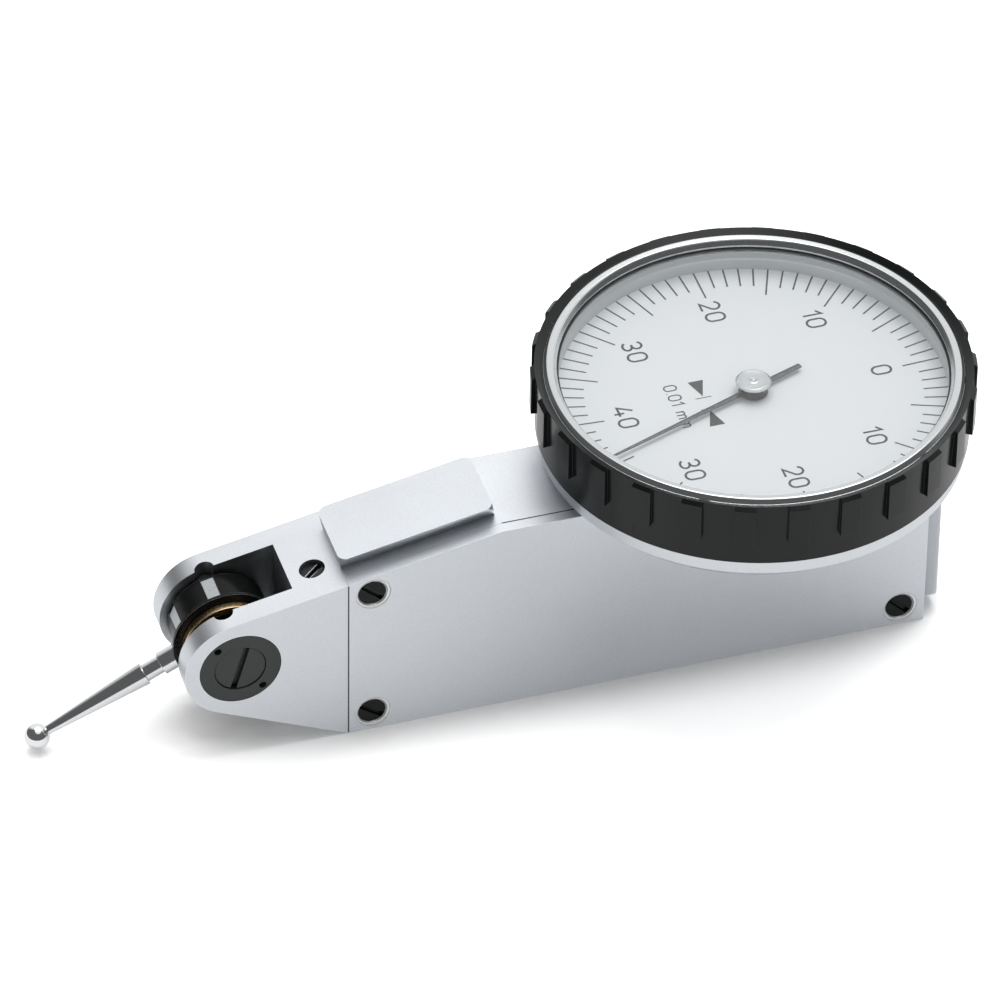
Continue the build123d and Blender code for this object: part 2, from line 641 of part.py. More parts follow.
def make_sector_arm():
    inner = SECTOR_PITCH_RADIUS - TOOTH_ROOT_SHARE * SECTOR_MODULE - SECTOR_DEPTH
    bar = Polyline(
        (0, -ARM_ROOT_HEIGHT / 2),
        (inner, -ARM_TIP_HEIGHT / 2),
        (inner, ARM_TIP_HEIGHT / 2),
        (0, ARM_ROOT_HEIGHT / 2),
        close=True,
    )
    outline = make_face(bar) + Circle(ARM_EYE_RADIUS) + sector_outline() - Circle(AXLE_RADIUS)
    return lever_plane(ARM_NEAR_Y) * extrude(outline, amount=ARM_THICKNESS)


def make_centring_spring():
    """Two blades on the arm that straddle a pin and bring the lever back to its middle."""
    swing = math.tan(math.radians(LEVER_SWING)) * CENTRING_PIN_FROM_PIVOT
    offset = CENTRING_PIN_RADIUS + swing + FACE_GAP + SPRING_BLADE_THICKNESS / 2
    block_x = CENTRING_PIN_FROM_PIVOT + SPRING_BLADE_LENGTH
    blade_middle = block_x - SPRING_BLADE_LENGTH / 2 - CENTRING_PIN_RADIUS
    blade_length = SPRING_BLADE_LENGTH + 2 * CENTRING_PIN_RADIUS
    block_height = 2 * offset + SPRING_BLADE_THICKNESS
    spring = Pos(block_x, 0, 0) * Box(SPRING_BLOCK_LENGTH, block_height, SPRING_BLADE_WIDTH)
    for side in (-1, 1):
        blade = Box(blade_length, SPRING_BLADE_THICKNESS, SPRING_BLADE_WIDTH)
        spring += Pos(blade_middle, side * offset, 0) * blade
    return lever_plane(ARM_FAR_Y + SPRING_BLADE_WIDTH / 2) * spring


# Stylus

def swivel_plane(angle, y):
    """Plane whose origin is on the pivot axis and whose local Z points out along angle."""
    turn = math.radians(angle)
    return Plane(
        origin=(PIVOT_X, y, PIVOT_HEIGHT),
        x_dir=(0, 1, 0),
        z_dir=(math.cos(turn), 0, math.sin(turn)),
    )


def key_angles():
    """Directions of the four drum keys, as two pairs on opposite sides."""
    angles = []
    for middle in (KEY_MIDDLE_ANGLE, KEY_MIDDLE_ANGLE + 180):
        angles += [middle - KEY_HALF_SPREAD, middle + KEY_HALF_SPREAD]
    return angles


def make_drum_key(angle):
    length = DRUM_FAR_Y - DRUM_NEAR_Y - KEY_END_MARGIN
    key = Box(length, KEY_WIDTH, KEY_DEPTH)
    height = DRUM_RADIUS - KEY_SUNK - KEY_DEPTH / 2
    middle_y = DRUM_NEAR_Y + length / 2
    return swivel_plane(angle, middle_y) * Pos(0, 0, height) * key


def stylus_plane():
    """Plane on the pivot axis whose local Z runs out along the stylus."""
    return swivel_plane(180 + STYLUS_DROP_ANGLE, STYLUS_Y)


def make_stylus_shaft():
    cone_end = BALL_FROM_PIVOT - BALL_RADIUS / 2
    shaft = turned([
        (0, SHAFT_INNER_END),
        (SHAFT_RADIUS, SHAFT_INNER_END),
        (SHAFT_RADIUS, NECK_START),
        (NECK_RADIUS, NECK_START),
        (NECK_RADIUS, NECK_END),
        (SHAFT_RADIUS, NECK_END),
        (TIP_RADIUS, cone_end),
        (0, cone_end),
    ])
    return stylus_plane() * shaft


def make_contact_ball():
    ball = stylus_plane() * Pos(0, 0, BALL_FROM_PIVOT) * Sphere(BALL_RADIUS)
    return ball - make_stylus_shaft()


def make_swivel_drum():
    flange = extrude(Circle(FLANGE_RADIUS), amount=FLANGE_THICKNESS)
    drum = extrude(Circle(DRUM_RADIUS), amount=DRUM_FAR_Y - FLANGE_NEAR_Y)
    bore = extrude(Circle(AXLE_RADIUS + RUNNING), amount=DRUM_FAR_Y - FLANGE_NEAR_Y)
    hub = lever_plane(FLANGE_NEAR_Y) * (flange + drum - bore)
    hub -= stylus_plane() * extrude(Circle(SHAFT_RADIUS), amount=FLANGE_RADIUS + WALL) - (
        stylus_plane() * extrude(Circle(SHAFT_RADIUS), amount=SHAFT_INNER_END)
    )
    for angle in key_angles():
        hub -= swivel_plane(angle, 0) * key_groove()
    return hub


def key_groove():
    """Slot in the drum for one key, open at the drum's surface and its far end."""
    length = DRUM_FAR_Y - DRUM_NEAR_Y
    depth = KEY_DEPTH + KEY_SUNK
    groove = Box(length, KEY_WIDTH, 2 * depth)
    middle_y = (DRUM_FAR_Y + DRUM_NEAR_Y) / 2
    return Pos(middle_y, 0, DRUM_RADIUS) * groove


# Movement

def wall_pin_places():
    """Pins in the far wall, as (x, z, radius): the centring pin and the two stop pins."""
    arm_half = ARM_TIP_HEIGHT / 2 + (ARM_ROOT_HEIGHT - ARM_TIP_HEIGHT) / 2 * (
        1 - STOP_PIN_FROM_PIVOT / SECTOR_PITCH_RADIUS
    )
    swing = STOP_PIN_FROM_PIVOT * math.tan(math.radians(LEVER_SWING))
    reach = arm_half + swing + STOP_PIN_RADIUS + STOP_PIN_MARGIN
    return [
        (CENTRING_PIN_X, PIVOT_HEIGHT, CENTRING_PIN_RADIUS),
        (STOP_PIN_X, PIVOT_HEIGHT + reach, STOP_PIN_RADIUS),
        (STOP_PIN_X, PIVOT_HEIGHT - reach, STOP_PIN_RADIUS),
    ]


def make_wall_pin(index):
    x, z, radius = wall_pin_places()[index]
    near = ARM_FAR_Y + FACE_GAP if index == 0 else ARM_NEAR_Y
    return rod_y(radius, x, z, near, CAVITY_FAR_Y + PIN_IN_WALL)


def pillar_places():
    """Centres of the two bridge pillars, in x and z."""
    return [
        (BRIDGE_PILLAR_X, PIVOT_HEIGHT + BRIDGE_PILLAR_SPREAD),
        (BRIDGE_PILLAR_X, PIVOT_HEIGHT - BRIDGE_PILLAR_SPREAD),
    ]


def make_bridge_pillar(index):
    x, z = pillar_places()[index]
    pillar = rod_y(BRIDGE_PILLAR_RADIUS, x, z, BRIDGE_FAR_Y, CAVITY_FAR_Y)
    hole_end = BRIDGE_FAR_Y + 2 * BRIDGE_THICKNESS
    return pillar - rod_y(BRIDGE_SCREW_SHANK_RADIUS, x, z, BRIDGE_FAR_Y, hole_end)


def make_movement_bridge():
    spots = [(DIAL_X, PIVOT_HEIGHT), (DIAL_X, FOOT_MIDDLE_Z), *pillar_places()]
    rounds = [Pos(x, z) * Circle(FOOT_WIDTH / 2) for x, z in spots]
    outline = make_hull([edge for disc in rounds for edge in disc.edges()])
    bridge = between_y(outline, BRIDGE_NEAR_Y, BRIDGE_FAR_Y)
    foot_length = FOOT_PAST_AXIS - BRIDGE_FAR_Y
    foot = Box(FOOT_WIDTH, foot_length, FOOT_TOP_Z - FOOT_BOTTOM_Z)
    foot_y = (FOOT_PAST_AXIS + BRIDGE_FAR_Y) / 2
    bridge += Pos(DIAL_X, foot_y, FOOT_MIDDLE_Z) * foot
    bridge -= rod_z(JEWEL_RADIUS, FOOT_TOP_Z - JEWEL_THICKNESS, FOOT_TOP_Z)
    bridge -= rod_y(JEWEL_RADIUS, DIAL_X, PIVOT_HEIGHT, BRIDGE_FAR_Y - JEWEL_THICKNESS, BRIDGE_FAR_Y)
    for x, z in pillar_places():
        bridge -= rod_y(BRIDGE_SCREW_SHANK_RADIUS, x, z, BRIDGE_NEAR_Y, BRIDGE_FAR_Y)
        head_floor = BRIDGE_NEAR_Y + BRIDGE_SCREW_HEAD_HEIGHT
        bridge -= rod_y(BRIDGE_SCREW_HEAD_RADIUS, x, z, BRIDGE_NEAR_Y, head_floor)
    return bridge


def make_bridge_screw(index):
    x, z = pillar_places()[index]
    screw = slotted_screw(
        BRIDGE_SCREW_HEAD_RADIUS,
        BRIDGE_SCREW_HEAD_HEIGHT,
        BRIDGE_SCREW_SHANK_RADIUS,
        2 * BRIDGE_THICKNESS,
        PLUG_SLOT_ANGLE,
        BRIDGE_SCREW_HEAD_HEIGHT / 2,
    )
    return facing_near(x, BRIDGE_NEAR_Y, z) * screw


def jewel(pivot_radius):
    """Bearing jewel with its inner face at z 0, running down."""
    return extrude(Circle(JEWEL_RADIUS) - Circle(pivot_radius + RUNNING), amount=-JEWEL_THICKNESS)


def make_arbor_jewel_far():
    return facing_near(DIAL_X, CAVITY_FAR_Y, PIVOT_HEIGHT) * jewel(ARBOR_PIVOT_RADIUS)


def make_arbor_jewel_near():
    return facing_far(DIAL_X, BRIDGE_FAR_Y, PIVOT_HEIGHT) * jewel(ARBOR_PIVOT_RADIUS)


def make_spindle_jewel():
    return Pos(DIAL_X, 0, FOOT_TOP_Z) * jewel(SPINDLE_PIVOT_RADIUS)


def make_crown_arbor():
    low = BRIDGE_FAR_Y + FACE_GAP
    high = CAVITY_FAR_Y - FACE_GAP
    arbor = rod_y(ARBOR_RADIUS, DIAL_X, PIVOT_HEIGHT, low, high)
    pivots = rod_y(
        ARBOR_PIVOT_RADIUS,
        DIAL_X,
        PIVOT_HEIGHT,
        low - ARBOR_PIVOT_LENGTH,
        high + ARBOR_PIVOT_LENGTH,
    )
    return arbor + pivots


def make_arbor_pinion():
    outline = pinion_outline(ARBOR_PINION_TEETH, SECTOR_MODULE, 180 / ARBOR_PINION_TEETH)
    length = ARM_THICKNESS + 2 * ARBOR_PINION_OVERHANG
    plane = facing_near(DIAL_X, ARM_FAR_Y + ARBOR_PINION_OVERHANG, PIVOT_HEIGHT)
    return plane * extrude(outline - Circle(ARBOR_RADIUS), amount=length)


def make_crown_wheel():
    """Wheel whose teeth stand on its face and point to the near side, with a toothed rim."""
    tip_half, root_half = rack_half_widths(CROWN_MODULE)
    height = (RACK_TIP_SHARE + TOOTH_ROOT_SHARE) * CROWN_MODULE
    wheel = extrude(Circle(CROWN_OUTER_RADIUS) - Circle(ARBOR_RADIUS), amount=-CROWN_WEB)
    windows = Circle(CROWN_INNER_RADIUS - CROWN_RIM_WIDTH)
    windows -= Circle(CROWN_HUB_RADIUS + CROWN_RIM_WIDTH)
    for index in range(CROWN_WINDOW_COUNT // 2):
        spoke = Rectangle(2 * CROWN_OUTER_RADIUS, CROWN_SPOKE_WIDTH)
        windows -= Rot(0, 0, 360 * index / CROWN_WINDOW_COUNT) * spoke
    wheel -= extrude(windows, amount=-CROWN_WEB)
    section = Polyline(
        (CROWN_INNER_RADIUS, -root_half, 0),
        (CROWN_INNER_RADIUS, root_half, 0),
        (CROWN_INNER_RADIUS, tip_half, height),
        (CROWN_INNER_RADIUS, -tip_half, height),
        close=True,
    )
    tooth = extrude(make_face(section), amount=CROWN_FACE_WIDTH, dir=(1, 0, 0))
    teeth = [Rot(0, 0, 360 * index / CROWN_TEETH) * tooth for index in range(CROWN_TEETH)]
    wheel = wheel + teeth
    hub = Circle(CROWN_HUB_RADIUS) - Circle(ARBOR_RADIUS)
    wheel += Pos(0, 0, -CROWN_WEB) * extrude(hub, amount=-CROWN_HUB_LENGTH)
    root_y = SPINDLE_PINION_RADIUS + TOOTH_ROOT_SHARE * CROWN_MODULE
    return facing_near(DIAL_X, root_y, PIVOT_HEIGHT) * wheel


def make_pointer_spindle():
    pivot_low = FOOT_TOP_Z - JEWEL_THICKNESS + FACE_GAP
    spindle = rod_z(SPINDLE_RADIUS, FOOT_TOP_Z + FACE_GAP, HAND_Z + HAND_THICKNESS)
    return spindle + rod_z(SPINDLE_PIVOT_RADIUS, pivot_low, FOOT_TOP_Z + SPINDLE_PIVOT_LENGTH)


def make_spindle_pinion():
    gap_towards_wheel = 90 + 180 / SPINDLE_PINION_TEETH
    outline = pinion_outline(SPINDLE_PINION_TEETH, CROWN_MODULE, gap_towards_wheel)
    low = CROWN_MESH_Z - SPINDLE_PINION_LENGTH / 2
    solid = extrude(outline - Circle(SPINDLE_RADIUS), amount=SPINDLE_PINION_LENGTH)
    return Pos(DIAL_X, 0, low) * solid


# Dial base

def cup_screw_places():
    """x of the two screws that hold the dial base on the body."""
    return [DIAL_X - CUP_SCREW_CIRCLE, DIAL_X + CUP_SCREW_CIRCLE]


def make_dial_base():
    base = turned([
        (SPINDLE_BUSH_RADIUS, BODY_HEIGHT - CUP_BOSS_DEPTH),
        (CUP_BOSS_RADIUS, BODY_HEIGHT - CUP_BOSS_DEPTH),
        (CUP_BOSS_RADIUS, BODY_HEIGHT),
        (CUP_RADIUS - CUP_CHAMFER, BODY_HEIGHT),
        (CUP_RADIUS, CUP_EDGE_Z),
        (CUP_RADIUS, FLANGE_TOP_Z),
        (SPIGOT_RADIUS, FLANGE_TOP_Z),
        (SPIGOT_RADIUS, SPIGOT_TOP_Z),
        (SPIGOT_RADIUS - SPIGOT_WALL, SPIGOT_TOP_Z),
        (SPIGOT_RADIUS - SPIGOT_WALL, CUP_FLOOR_Z),
        (SPINDLE_BUSH_RADIUS, CUP_FLOOR_Z),
    ])
    groove = turned([
        (SPIGOT_RADIUS + RETAINER_PROUD - RETAINER_WIDTH, RETAINER_Z - RETAINER_THICKNESS / 2),
        (SPIGOT_RADIUS + WALL, RETAINER_Z - RETAINER_THICKNESS / 2),
        (SPIGOT_RADIUS + WALL, RETAINER_Z + RETAINER_THICKNESS / 2),
        (SPIGOT_RADIUS + RETAINER_PROUD - RETAINER_WIDTH, RETAINER_Z + RETAINER_THICKNESS / 2),
    ])
    base = Pos(DIAL_X, 0, 0) * (base - groove)
    for x in cup_screw_places():
        base -= rod_z(SCREW_SHANK_RADIUS, BODY_HEIGHT, CUP_FLOOR_Z, x)
    stud_x, stud_y = stud_place()
    base -= rod_z(STUD_RADIUS, CUP_FLOOR_Z - CUP_FLOOR / 2, CUP_FLOOR_Z, stud_x, stud_y)
    return base


def make_dial_base_screw(index):
    x = cup_screw_places()[index]
    screw = slotted_screw(
        CUP_SCREW_HEAD_RADIUS,
        CUP_SCREW_HEAD_HEIGHT,
        SCREW_SHANK_RADIUS,
        CUP_FLOOR + WALL,
        PLUG_SLOT_ANGLE,
        SCREW_SLOT_DEPTH,
    )
    return Pos(x, 0, CUP_FLOOR_Z + CUP_SCREW_HEAD_HEIGHT) * screw


def make_spindle_bush():
    ring = Circle(SPINDLE_BUSH_RADIUS) - Circle(SPINDLE_RADIUS + RUNNING)
    height = CUP_FLOOR + CUP_BOSS_DEPTH
    return Pos(DIAL_X, 0, BODY_HEIGHT - CUP_BOSS_DEPTH) * extrude(ring, amount=height)


def make_bezel_retainer():
    """Split ring in the spigot's groove that keeps the bezel on and lets it turn."""
    outer = SPIGOT_RADIUS + RETAINER_PROUD
    ring = Circle(outer) - Circle(outer - RETAINER_WIDTH)
    ring -= Pos(outer, 0) * Rectangle(outer, RETAINER_SPLIT)
    low = RETAINER_Z - RETAINER_THICKNESS / 2
    return Pos(DIAL_X, 0, low) * extrude(ring, amount=RETAINER_THICKNESS)


def stud_place():
    """Where the outer end of the hairspring is held, in x and y."""
    outer = hairspring_radius(HAIRSPRING_HALF_TURNS - 1) + HAIRSPRING_STRIP / 2
    reach = outer + STUD_RADIUS
    centre = DIAL_X + hairspring_centre(HAIRSPRING_HALF_TURNS - 1)
    side = 1 if HAIRSPRING_HALF_TURNS % 2 == 0 else -1
    return (centre + side * reach, 0.0)


def hairspring_radius(index):
    """Middle radius of one half turn of the hairspring."""
    return COLLET_RADIUS + HAIRSPRING_PITCH * (0.5 + index / 2)


def hairspring_centre(index):
    """x of a half turn's centre, which changes sides to let the turns grow."""
    return HAIRSPRING_PITCH / 4 if index % 2 else -HAIRSPRING_PITCH / 4


def make_hairspring():
    strip = None
    for index in range(HAIRSPRING_HALF_TURNS):
        radius = hairspring_radius(index)
        ring = Circle(radius + HAIRSPRING_STRIP / 2) - Circle(radius - HAIRSPRING_STRIP / 2)
        side = -1 if index % 2 else 1
        half = ring & (Pos(0, side * 2 * radius) * Rectangle(4 * radius, 4 * radius))
        half = Pos(hairspring_centre(index), 0) * half
        strip = half if strip is None else strip + half
    return Pos(DIAL_X, 0, HAIRSPRING_Z) * extrude(strip, amount=HAIRSPRING_HEIGHT)


def make_hairspring_stud():
    x, y = stud_place()
    top = HAIRSPRING_Z + 2 * HAIRSPRING_HEIGHT
    return rod_z(STUD_RADIUS, CUP_FLOOR_Z - CUP_FLOOR / 2, top, x, y)


# Bezel, crystal and dial

def make_bezel_ring():
    counterbore = RIM_RADIUS + SLIDE_IN
    bore = SPIGOT_RADIUS + RUNNING
    groove = SPIGOT_RADIUS + RETAINER_PROUD + RETAINER_GROOVE_GAP
    groove_half = RETAINER_THICKNESS / 2 + RETAINER_GROOVE_GAP
    ring = turned([
        (bore, BEZEL_BOTTOM_Z),
        (BEZEL_BODY_RADIUS, BEZEL_BOTTOM_Z),
        (BEZEL_BODY_RADIUS, RIB_BOTTOM_Z),
        (BEZEL_RIB_RADIUS, RIB_BOTTOM_Z),
        (BEZEL_RIB_RADIUS, RIB_TOP_Z),
        (BEZEL_BODY_RADIUS, BAND_EDGE_Z),
        (counterbore + RIM_PROUD, BEZEL_TOP_Z),
        (counterbore, BEZEL_TOP_Z),
        (counterbore, CRYSTAL_BOTTOM_Z),
        (DIAL_SEAT_RADIUS, CRYSTAL_BOTTOM_Z),
        (DIAL_SEAT_RADIUS, DIAL_BOTTOM_Z),
        (bore - BEZEL_LEDGE_WIDTH, DIAL_BOTTOM_Z),
        (bore - BEZEL_LEDGE_WIDTH, LEDGE_BOTTOM_Z),
        (bore, LEDGE_BOTTOM_Z),
        (bore, RETAINER_Z + groove_half),
        (groove, RETAINER_Z + groove_half),
        (groove, RETAINER_Z - groove_half),
        (bore, RETAINER_Z - groove_half),
    ])
    gap_angle = 360 / BEZEL_RIB_COUNT * (1 - BEZEL_RIB_SHARE)
    gap_width = 2 * BEZEL_RIB_RADIUS * math.sin(math.radians(gap_angle / 2))
    valley = extrude(
        Circle(BEZEL_RIB_RADIUS + BEZEL_RIB_DEPTH) - Circle(BEZEL_BODY_RADIUS),
        amount=BEZEL_TOP_Z - RIB_BOTTOM_Z,
    )
    cutter = Pos(BEZEL_RIB_RADIUS, 0, 0) * Box(
        4 * BEZEL_RIB_DEPTH, gap_width, 4 * (BEZEL_TOP_Z - RIB_BOTTOM_Z)
    )
    cutters = [
        Rot(0, 0, 360 * (index + 0.5) / BEZEL_RIB_COUNT) * cutter
        for index in range(BEZEL_RIB_COUNT)
    ]
    ring -= Pos(0, 0, RIB_BOTTOM_Z) * (valley & (Part() + cutters))
    return Pos(DIAL_X, 0, 0) * ring


def make_crystal_rim():
    inner_top = CRYSTAL_TOP_Z + RIM_INNER_LIP
    rim = turned([
        (RIM_INNER_RADIUS, CRYSTAL_TOP_Z),
        (RIM_INNER_RADIUS, inner_top),
        (RIM_INNER_RADIUS + RIM_SLOPE_WIDTH, RIM_TOP_Z),
        (RIM_RADIUS, RIM_TOP_Z),
        (RIM_RADIUS, CRYSTAL_BOTTOM_Z),
        (DIAL_SEAT_RADIUS, CRYSTAL_BOTTOM_Z),
        (DIAL_SEAT_RADIUS, CRYSTAL_TOP_Z),
    ])
    return Pos(DIAL_X, 0, 0) * rim


def make_crystal():
    return rod_z(DIAL_SEAT_RADIUS - SLIDE_IN, CRYSTAL_BOTTOM_Z, CRYSTAL_TOP_Z)


def make_inner_ring():
    ring = Circle(DIAL_SEAT_RADIUS - SLIDE_IN) - Circle(INNER_RING_RADIUS)
    return Pos(DIAL_X, 0, DIAL_FACE_Z) * extrude(ring, amount=INNER_RING_HEIGHT)


def make_dial_plate():
    plate = Circle(DIAL_SEAT_RADIUS - SLIDE_IN) - Circle(DIAL_HOLE_RADIUS)
    return Pos(DIAL_X, 0, DIAL_BOTTOM_Z) * extrude(plate, amount=DIAL_PLATE_THICKNESS)


# Pointer

def make_hairspring_collet():
    ring = Circle(COLLET_RADIUS) - Circle(SPINDLE_RADIUS)
    return Pos(DIAL_X, 0, HAIRSPRING_Z) * extrude(ring, amount=HAIRSPRING_HEIGHT)


def make_pointer_hand():
    blade = Polyline(
        (0, -HAND_ROOT_WIDTH / 2),
        (HAND_LENGTH, -HAND_TIP_WIDTH / 2),
        (HAND_LENGTH, HAND_TIP_WIDTH / 2),
        (0, HAND_ROOT_WIDTH / 2),
        (-HAND_TAIL, HAND_TAIL_WIDTH / 2),
        (-HAND_TAIL, -HAND_TAIL_WIDTH / 2),
        close=True,
    )
    outline = make_face(blade) + Circle(HUB_CAP_RADIUS) - Circle(SPINDLE_RADIUS)
    boss = Circle(HUB_CAP_RADIUS) - Circle(SPINDLE_RADIUS)
    hand = extrude(outline, amount=HAND_THICKNESS) + extrude(boss, amount=-HAND_BOSS_HEIGHT)
    return Pos(DIAL_X, 0, HAND_Z) * Rot(0, 0, HAND_ANGLE) * hand


def make_hub_cap():
    low = HAND_Z + HAND_THICKNESS
    cap = turned([
        (0, 0),
        (HUB_CAP_RADIUS, 0),
        (HUB_CAP_RADIUS, HUB_CAP_HEIGHT - HAND_THICKNESS),
        (HUB_CAP_RADIUS - HAND_THICKNESS, HUB_CAP_HEIGHT),
        (HUB_DIMPLE_RADIUS, HUB_CAP_HEIGHT),
        (0, HUB_CAP_HEIGHT - HAND_THICKNESS),
    ])
    return Pos(DIAL_X, 0, low) * cap


def build_parts():
    """Every sub-part by the name of its file."""
    parts = {
        "body_casing": make_body_casing(),
        "side_cover": make_side_cover(),
        "adjusting_screw": make_adjusting_screw(),
        "pivot_ring_near": make_pivot_ring(-1),
        "pivot_ring_far": make_pivot_ring(1),
        "pivot_plug_near": make_pivot_plug(-1),
        "pivot_plug_far": make_pivot_plug(1),
        "pivot_axle": make_pivot_axle(),
        "axle_collar": make_axle_collar(),
        "friction_bush": make_friction_bush(),
        "sector_arm": make_sector_arm(),
        "centring_spring": make_centring_spring(),
        "swivel_drum": make_swivel_drum(),
        "stylus_shaft": make_stylus_shaft(),
        "contact_ball": make_contact_ball(),
        "centring_pin": make_wall_pin(0),
        "stop_pin_upper": make_wall_pin(1),
        "stop_pin_lower": make_wall_pin(2),
        "bridge_pillar_upper": make_bridge_pillar(0),
        "bridge_pillar_lower": make_bridge_pillar(1),
        "movement_bridge": make_movement_bridge(),
        "bridge_screw_upper": make_bridge_screw(0),
        "bridge_screw_lower": make_bridge_screw(1),
        "arbor_jewel_near": make_arbor_jewel_near(),
        "arbor_jewel_far": make_arbor_jewel_far(),
        "spindle_jewel": make_spindle_jewel(),
        "crown_arbor": make_crown_arbor(),
        "arbor_pinion": make_arbor_pinion(),
        "crown_wheel": make_crown_wheel(),
        "pointer_spindle": make_pointer_spindle(),
        "spindle_pinion": make_spindle_pinion(),
        "hairspring_collet": make_hairspring_collet(),
        "hairspring": make_hairspring(),
        "hairspring_stud": make_hairspring_stud(),
        "dial_base": make_dial_base(),
        "dial_base_screw_front": make_dial_base_screw(0),
        "dial_base_screw_rear": make_dial_base_screw(1),
        "spindle_bush": make_spindle_bush(),
        "bezel_retainer": make_bezel_retainer(),
        "bezel_ring": make_bezel_ring(),
        "crystal_rim": make_crystal_rim(),
        "crystal": make_crystal(),
        "inner_ring": make_inner_ring(),
        "dial_plate": make_dial_plate(),
        "pointer_hand": make_pointer_hand(),
        "hub_cap": make_hub_cap(),
    }
    for index in range(len(cover_screw_places())):
        parts[f"cover_screw_{index + 1}"] = make_cover_screw(index)
    for index, angle in enumerate(key_angles()):
        parts[f"drum_key_{index + 1}"] = make_drum_key(angle)
    return parts


os.makedirs("parts", exist_ok=True)
for name, solid in build_parts().items():
    export_step(solid, f"parts/{name}.step")
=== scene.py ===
"""Looks of a lever type dial test indicator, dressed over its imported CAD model.

Everything is in metres in the frame of the CAD model: the origin is the centre of the
body's flat bottom, +X runs to the dial end, -Y is the cover side and +Z is the dial's axis.
"""

import logging
import math
from dataclasses import dataclass, field
from enum import Enum
from typing import Callable, Sequence

import bmesh
import bpy
from mathutils import Matrix, Vector


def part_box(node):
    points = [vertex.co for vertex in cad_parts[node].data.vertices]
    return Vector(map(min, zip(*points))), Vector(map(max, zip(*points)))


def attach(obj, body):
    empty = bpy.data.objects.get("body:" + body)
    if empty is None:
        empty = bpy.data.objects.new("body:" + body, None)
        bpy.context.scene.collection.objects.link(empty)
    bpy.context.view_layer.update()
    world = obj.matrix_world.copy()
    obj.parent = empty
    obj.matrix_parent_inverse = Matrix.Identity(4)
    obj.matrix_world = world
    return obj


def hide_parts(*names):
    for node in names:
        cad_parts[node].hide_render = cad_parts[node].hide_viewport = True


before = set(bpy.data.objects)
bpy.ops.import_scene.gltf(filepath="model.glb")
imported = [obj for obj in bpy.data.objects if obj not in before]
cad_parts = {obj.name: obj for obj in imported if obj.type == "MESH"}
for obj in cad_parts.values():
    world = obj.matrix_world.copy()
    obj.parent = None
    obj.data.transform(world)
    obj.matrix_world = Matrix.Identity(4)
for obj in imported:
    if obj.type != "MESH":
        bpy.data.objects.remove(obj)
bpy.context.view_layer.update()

LOG = logging.getLogger("indicator")
MM = 0.001

Colour = tuple[float, float, float]
Point2 = tuple[float, float]
Point3 = tuple[float, float, float]


# ---------------------------------------------------------------------------
# Shader graphs
# ---------------------------------------------------------------------------

class Graph:
    """Short hand for filling a node tree."""

    def __init__(self, tree: bpy.types.NodeTree) -> None:
        """Takes the tree to fill and empties it."""
        self.tree = tree
        tree.nodes.clear()

    def node(self, kind: str, **settings: object) -> bpy.types.Node:
        """Adds a node.

        Args:
            kind: The node's type, such as ShaderNodeMath.
            settings: Attributes to set on it.

        Returns:
            The new node.
        """
        made = self.tree.nodes.new(kind)
        for name, value in settings.items():
            setattr(made, name, value)
        return made

    def link(self, source: bpy.types.NodeSocket, target: bpy.types.NodeSocket) -> None:
        """Joins an output to an input."""
        self.tree.links.new(source, target)

    def feed(self, value: object, target: bpy.types.NodeSocket) -> None:
        """Links a socket or sets a plain value.

        Args:
            value: An output socket, a number or a colour.
            target: The input socket.
        """
        if isinstance(value, bpy.types.NodeSocket):
            self.link(value, target)
        else:
            target.default_value = value

    def math(self, operation: str, *values: object, clamp: bool = False) -> bpy.types.NodeSocket:
        """Adds a Math node.

        Args:
            operation: The node's operation, such as MULTIPLY.
            values: Its inputs, as sockets or numbers.
            clamp: Whether the result is kept from 0 to 1.

        Returns:
            The result's socket.
        """
        made = self.node("ShaderNodeMath", operation=operation, use_clamp=clamp)
        for value, target in zip(values, made.inputs):
            self.feed(value, target)
        return made.outputs[0]

    def span(self, value: object, low: float, high: float, start: float, end: float) -> bpy.types.NodeSocket:
        """Adds a clamped Map Range node.

        Args:
            value: The socket or number to map.
            low: The value that gives start.
            high: The value that gives end.
            start: The result at low.
            end: The result at high.

        Returns:
            The result's socket.
        """
        made = self.node("ShaderNodeMapRange", clamp=True)
        for target, item in zip(made.inputs, (value, low, high, start, end)):
            self.feed(item, target)
        return made.outputs[0]

    def blend(self, factor: object, first: object, second: object) -> bpy.types.NodeSocket:
        """Mixes two colours.

        Args:
            factor: The share of the second one, as a socket or number.
            first: The first colour or socket.
            second: The second colour or socket.

        Returns:
            The mixed colour's socket.
        """
        made = self.node("ShaderNodeMix", data_type="RGBA")
        self.feed(factor, made.inputs[0])
        self.feed(first, made.inputs[6])
        self.feed(second, made.inputs[7])
        return made.outputs[2]

    def noise(self, vector: object, scale: object, detail: float, roughness: float = 0.5) -> bpy.types.NodeSocket:
        """Adds a noise texture over a vector.

        Args:
            vector: The socket of the place.
            scale: The noise's scale, as a socket or number.
            detail: The number of octaves.
            roughness: How strong the finer octaves are.

        Returns:
            The noise value's socket.
        """
        made = self.node("ShaderNodeTexNoise")
        self.link(vector, made.inputs["Vector"])
        self.feed(scale, made.inputs["Scale"])
        made.inputs["Detail"].default_value = detail
        made.inputs["Roughness"].default_value = roughness
        return made.outputs["Fac"]


def rgba(colour: Sequence[float]) -> tuple[float, float, float, float]:
    """Adds an alpha of 1 to a colour."""
    return (colour[0], colour[1], colour[2], 1.0)


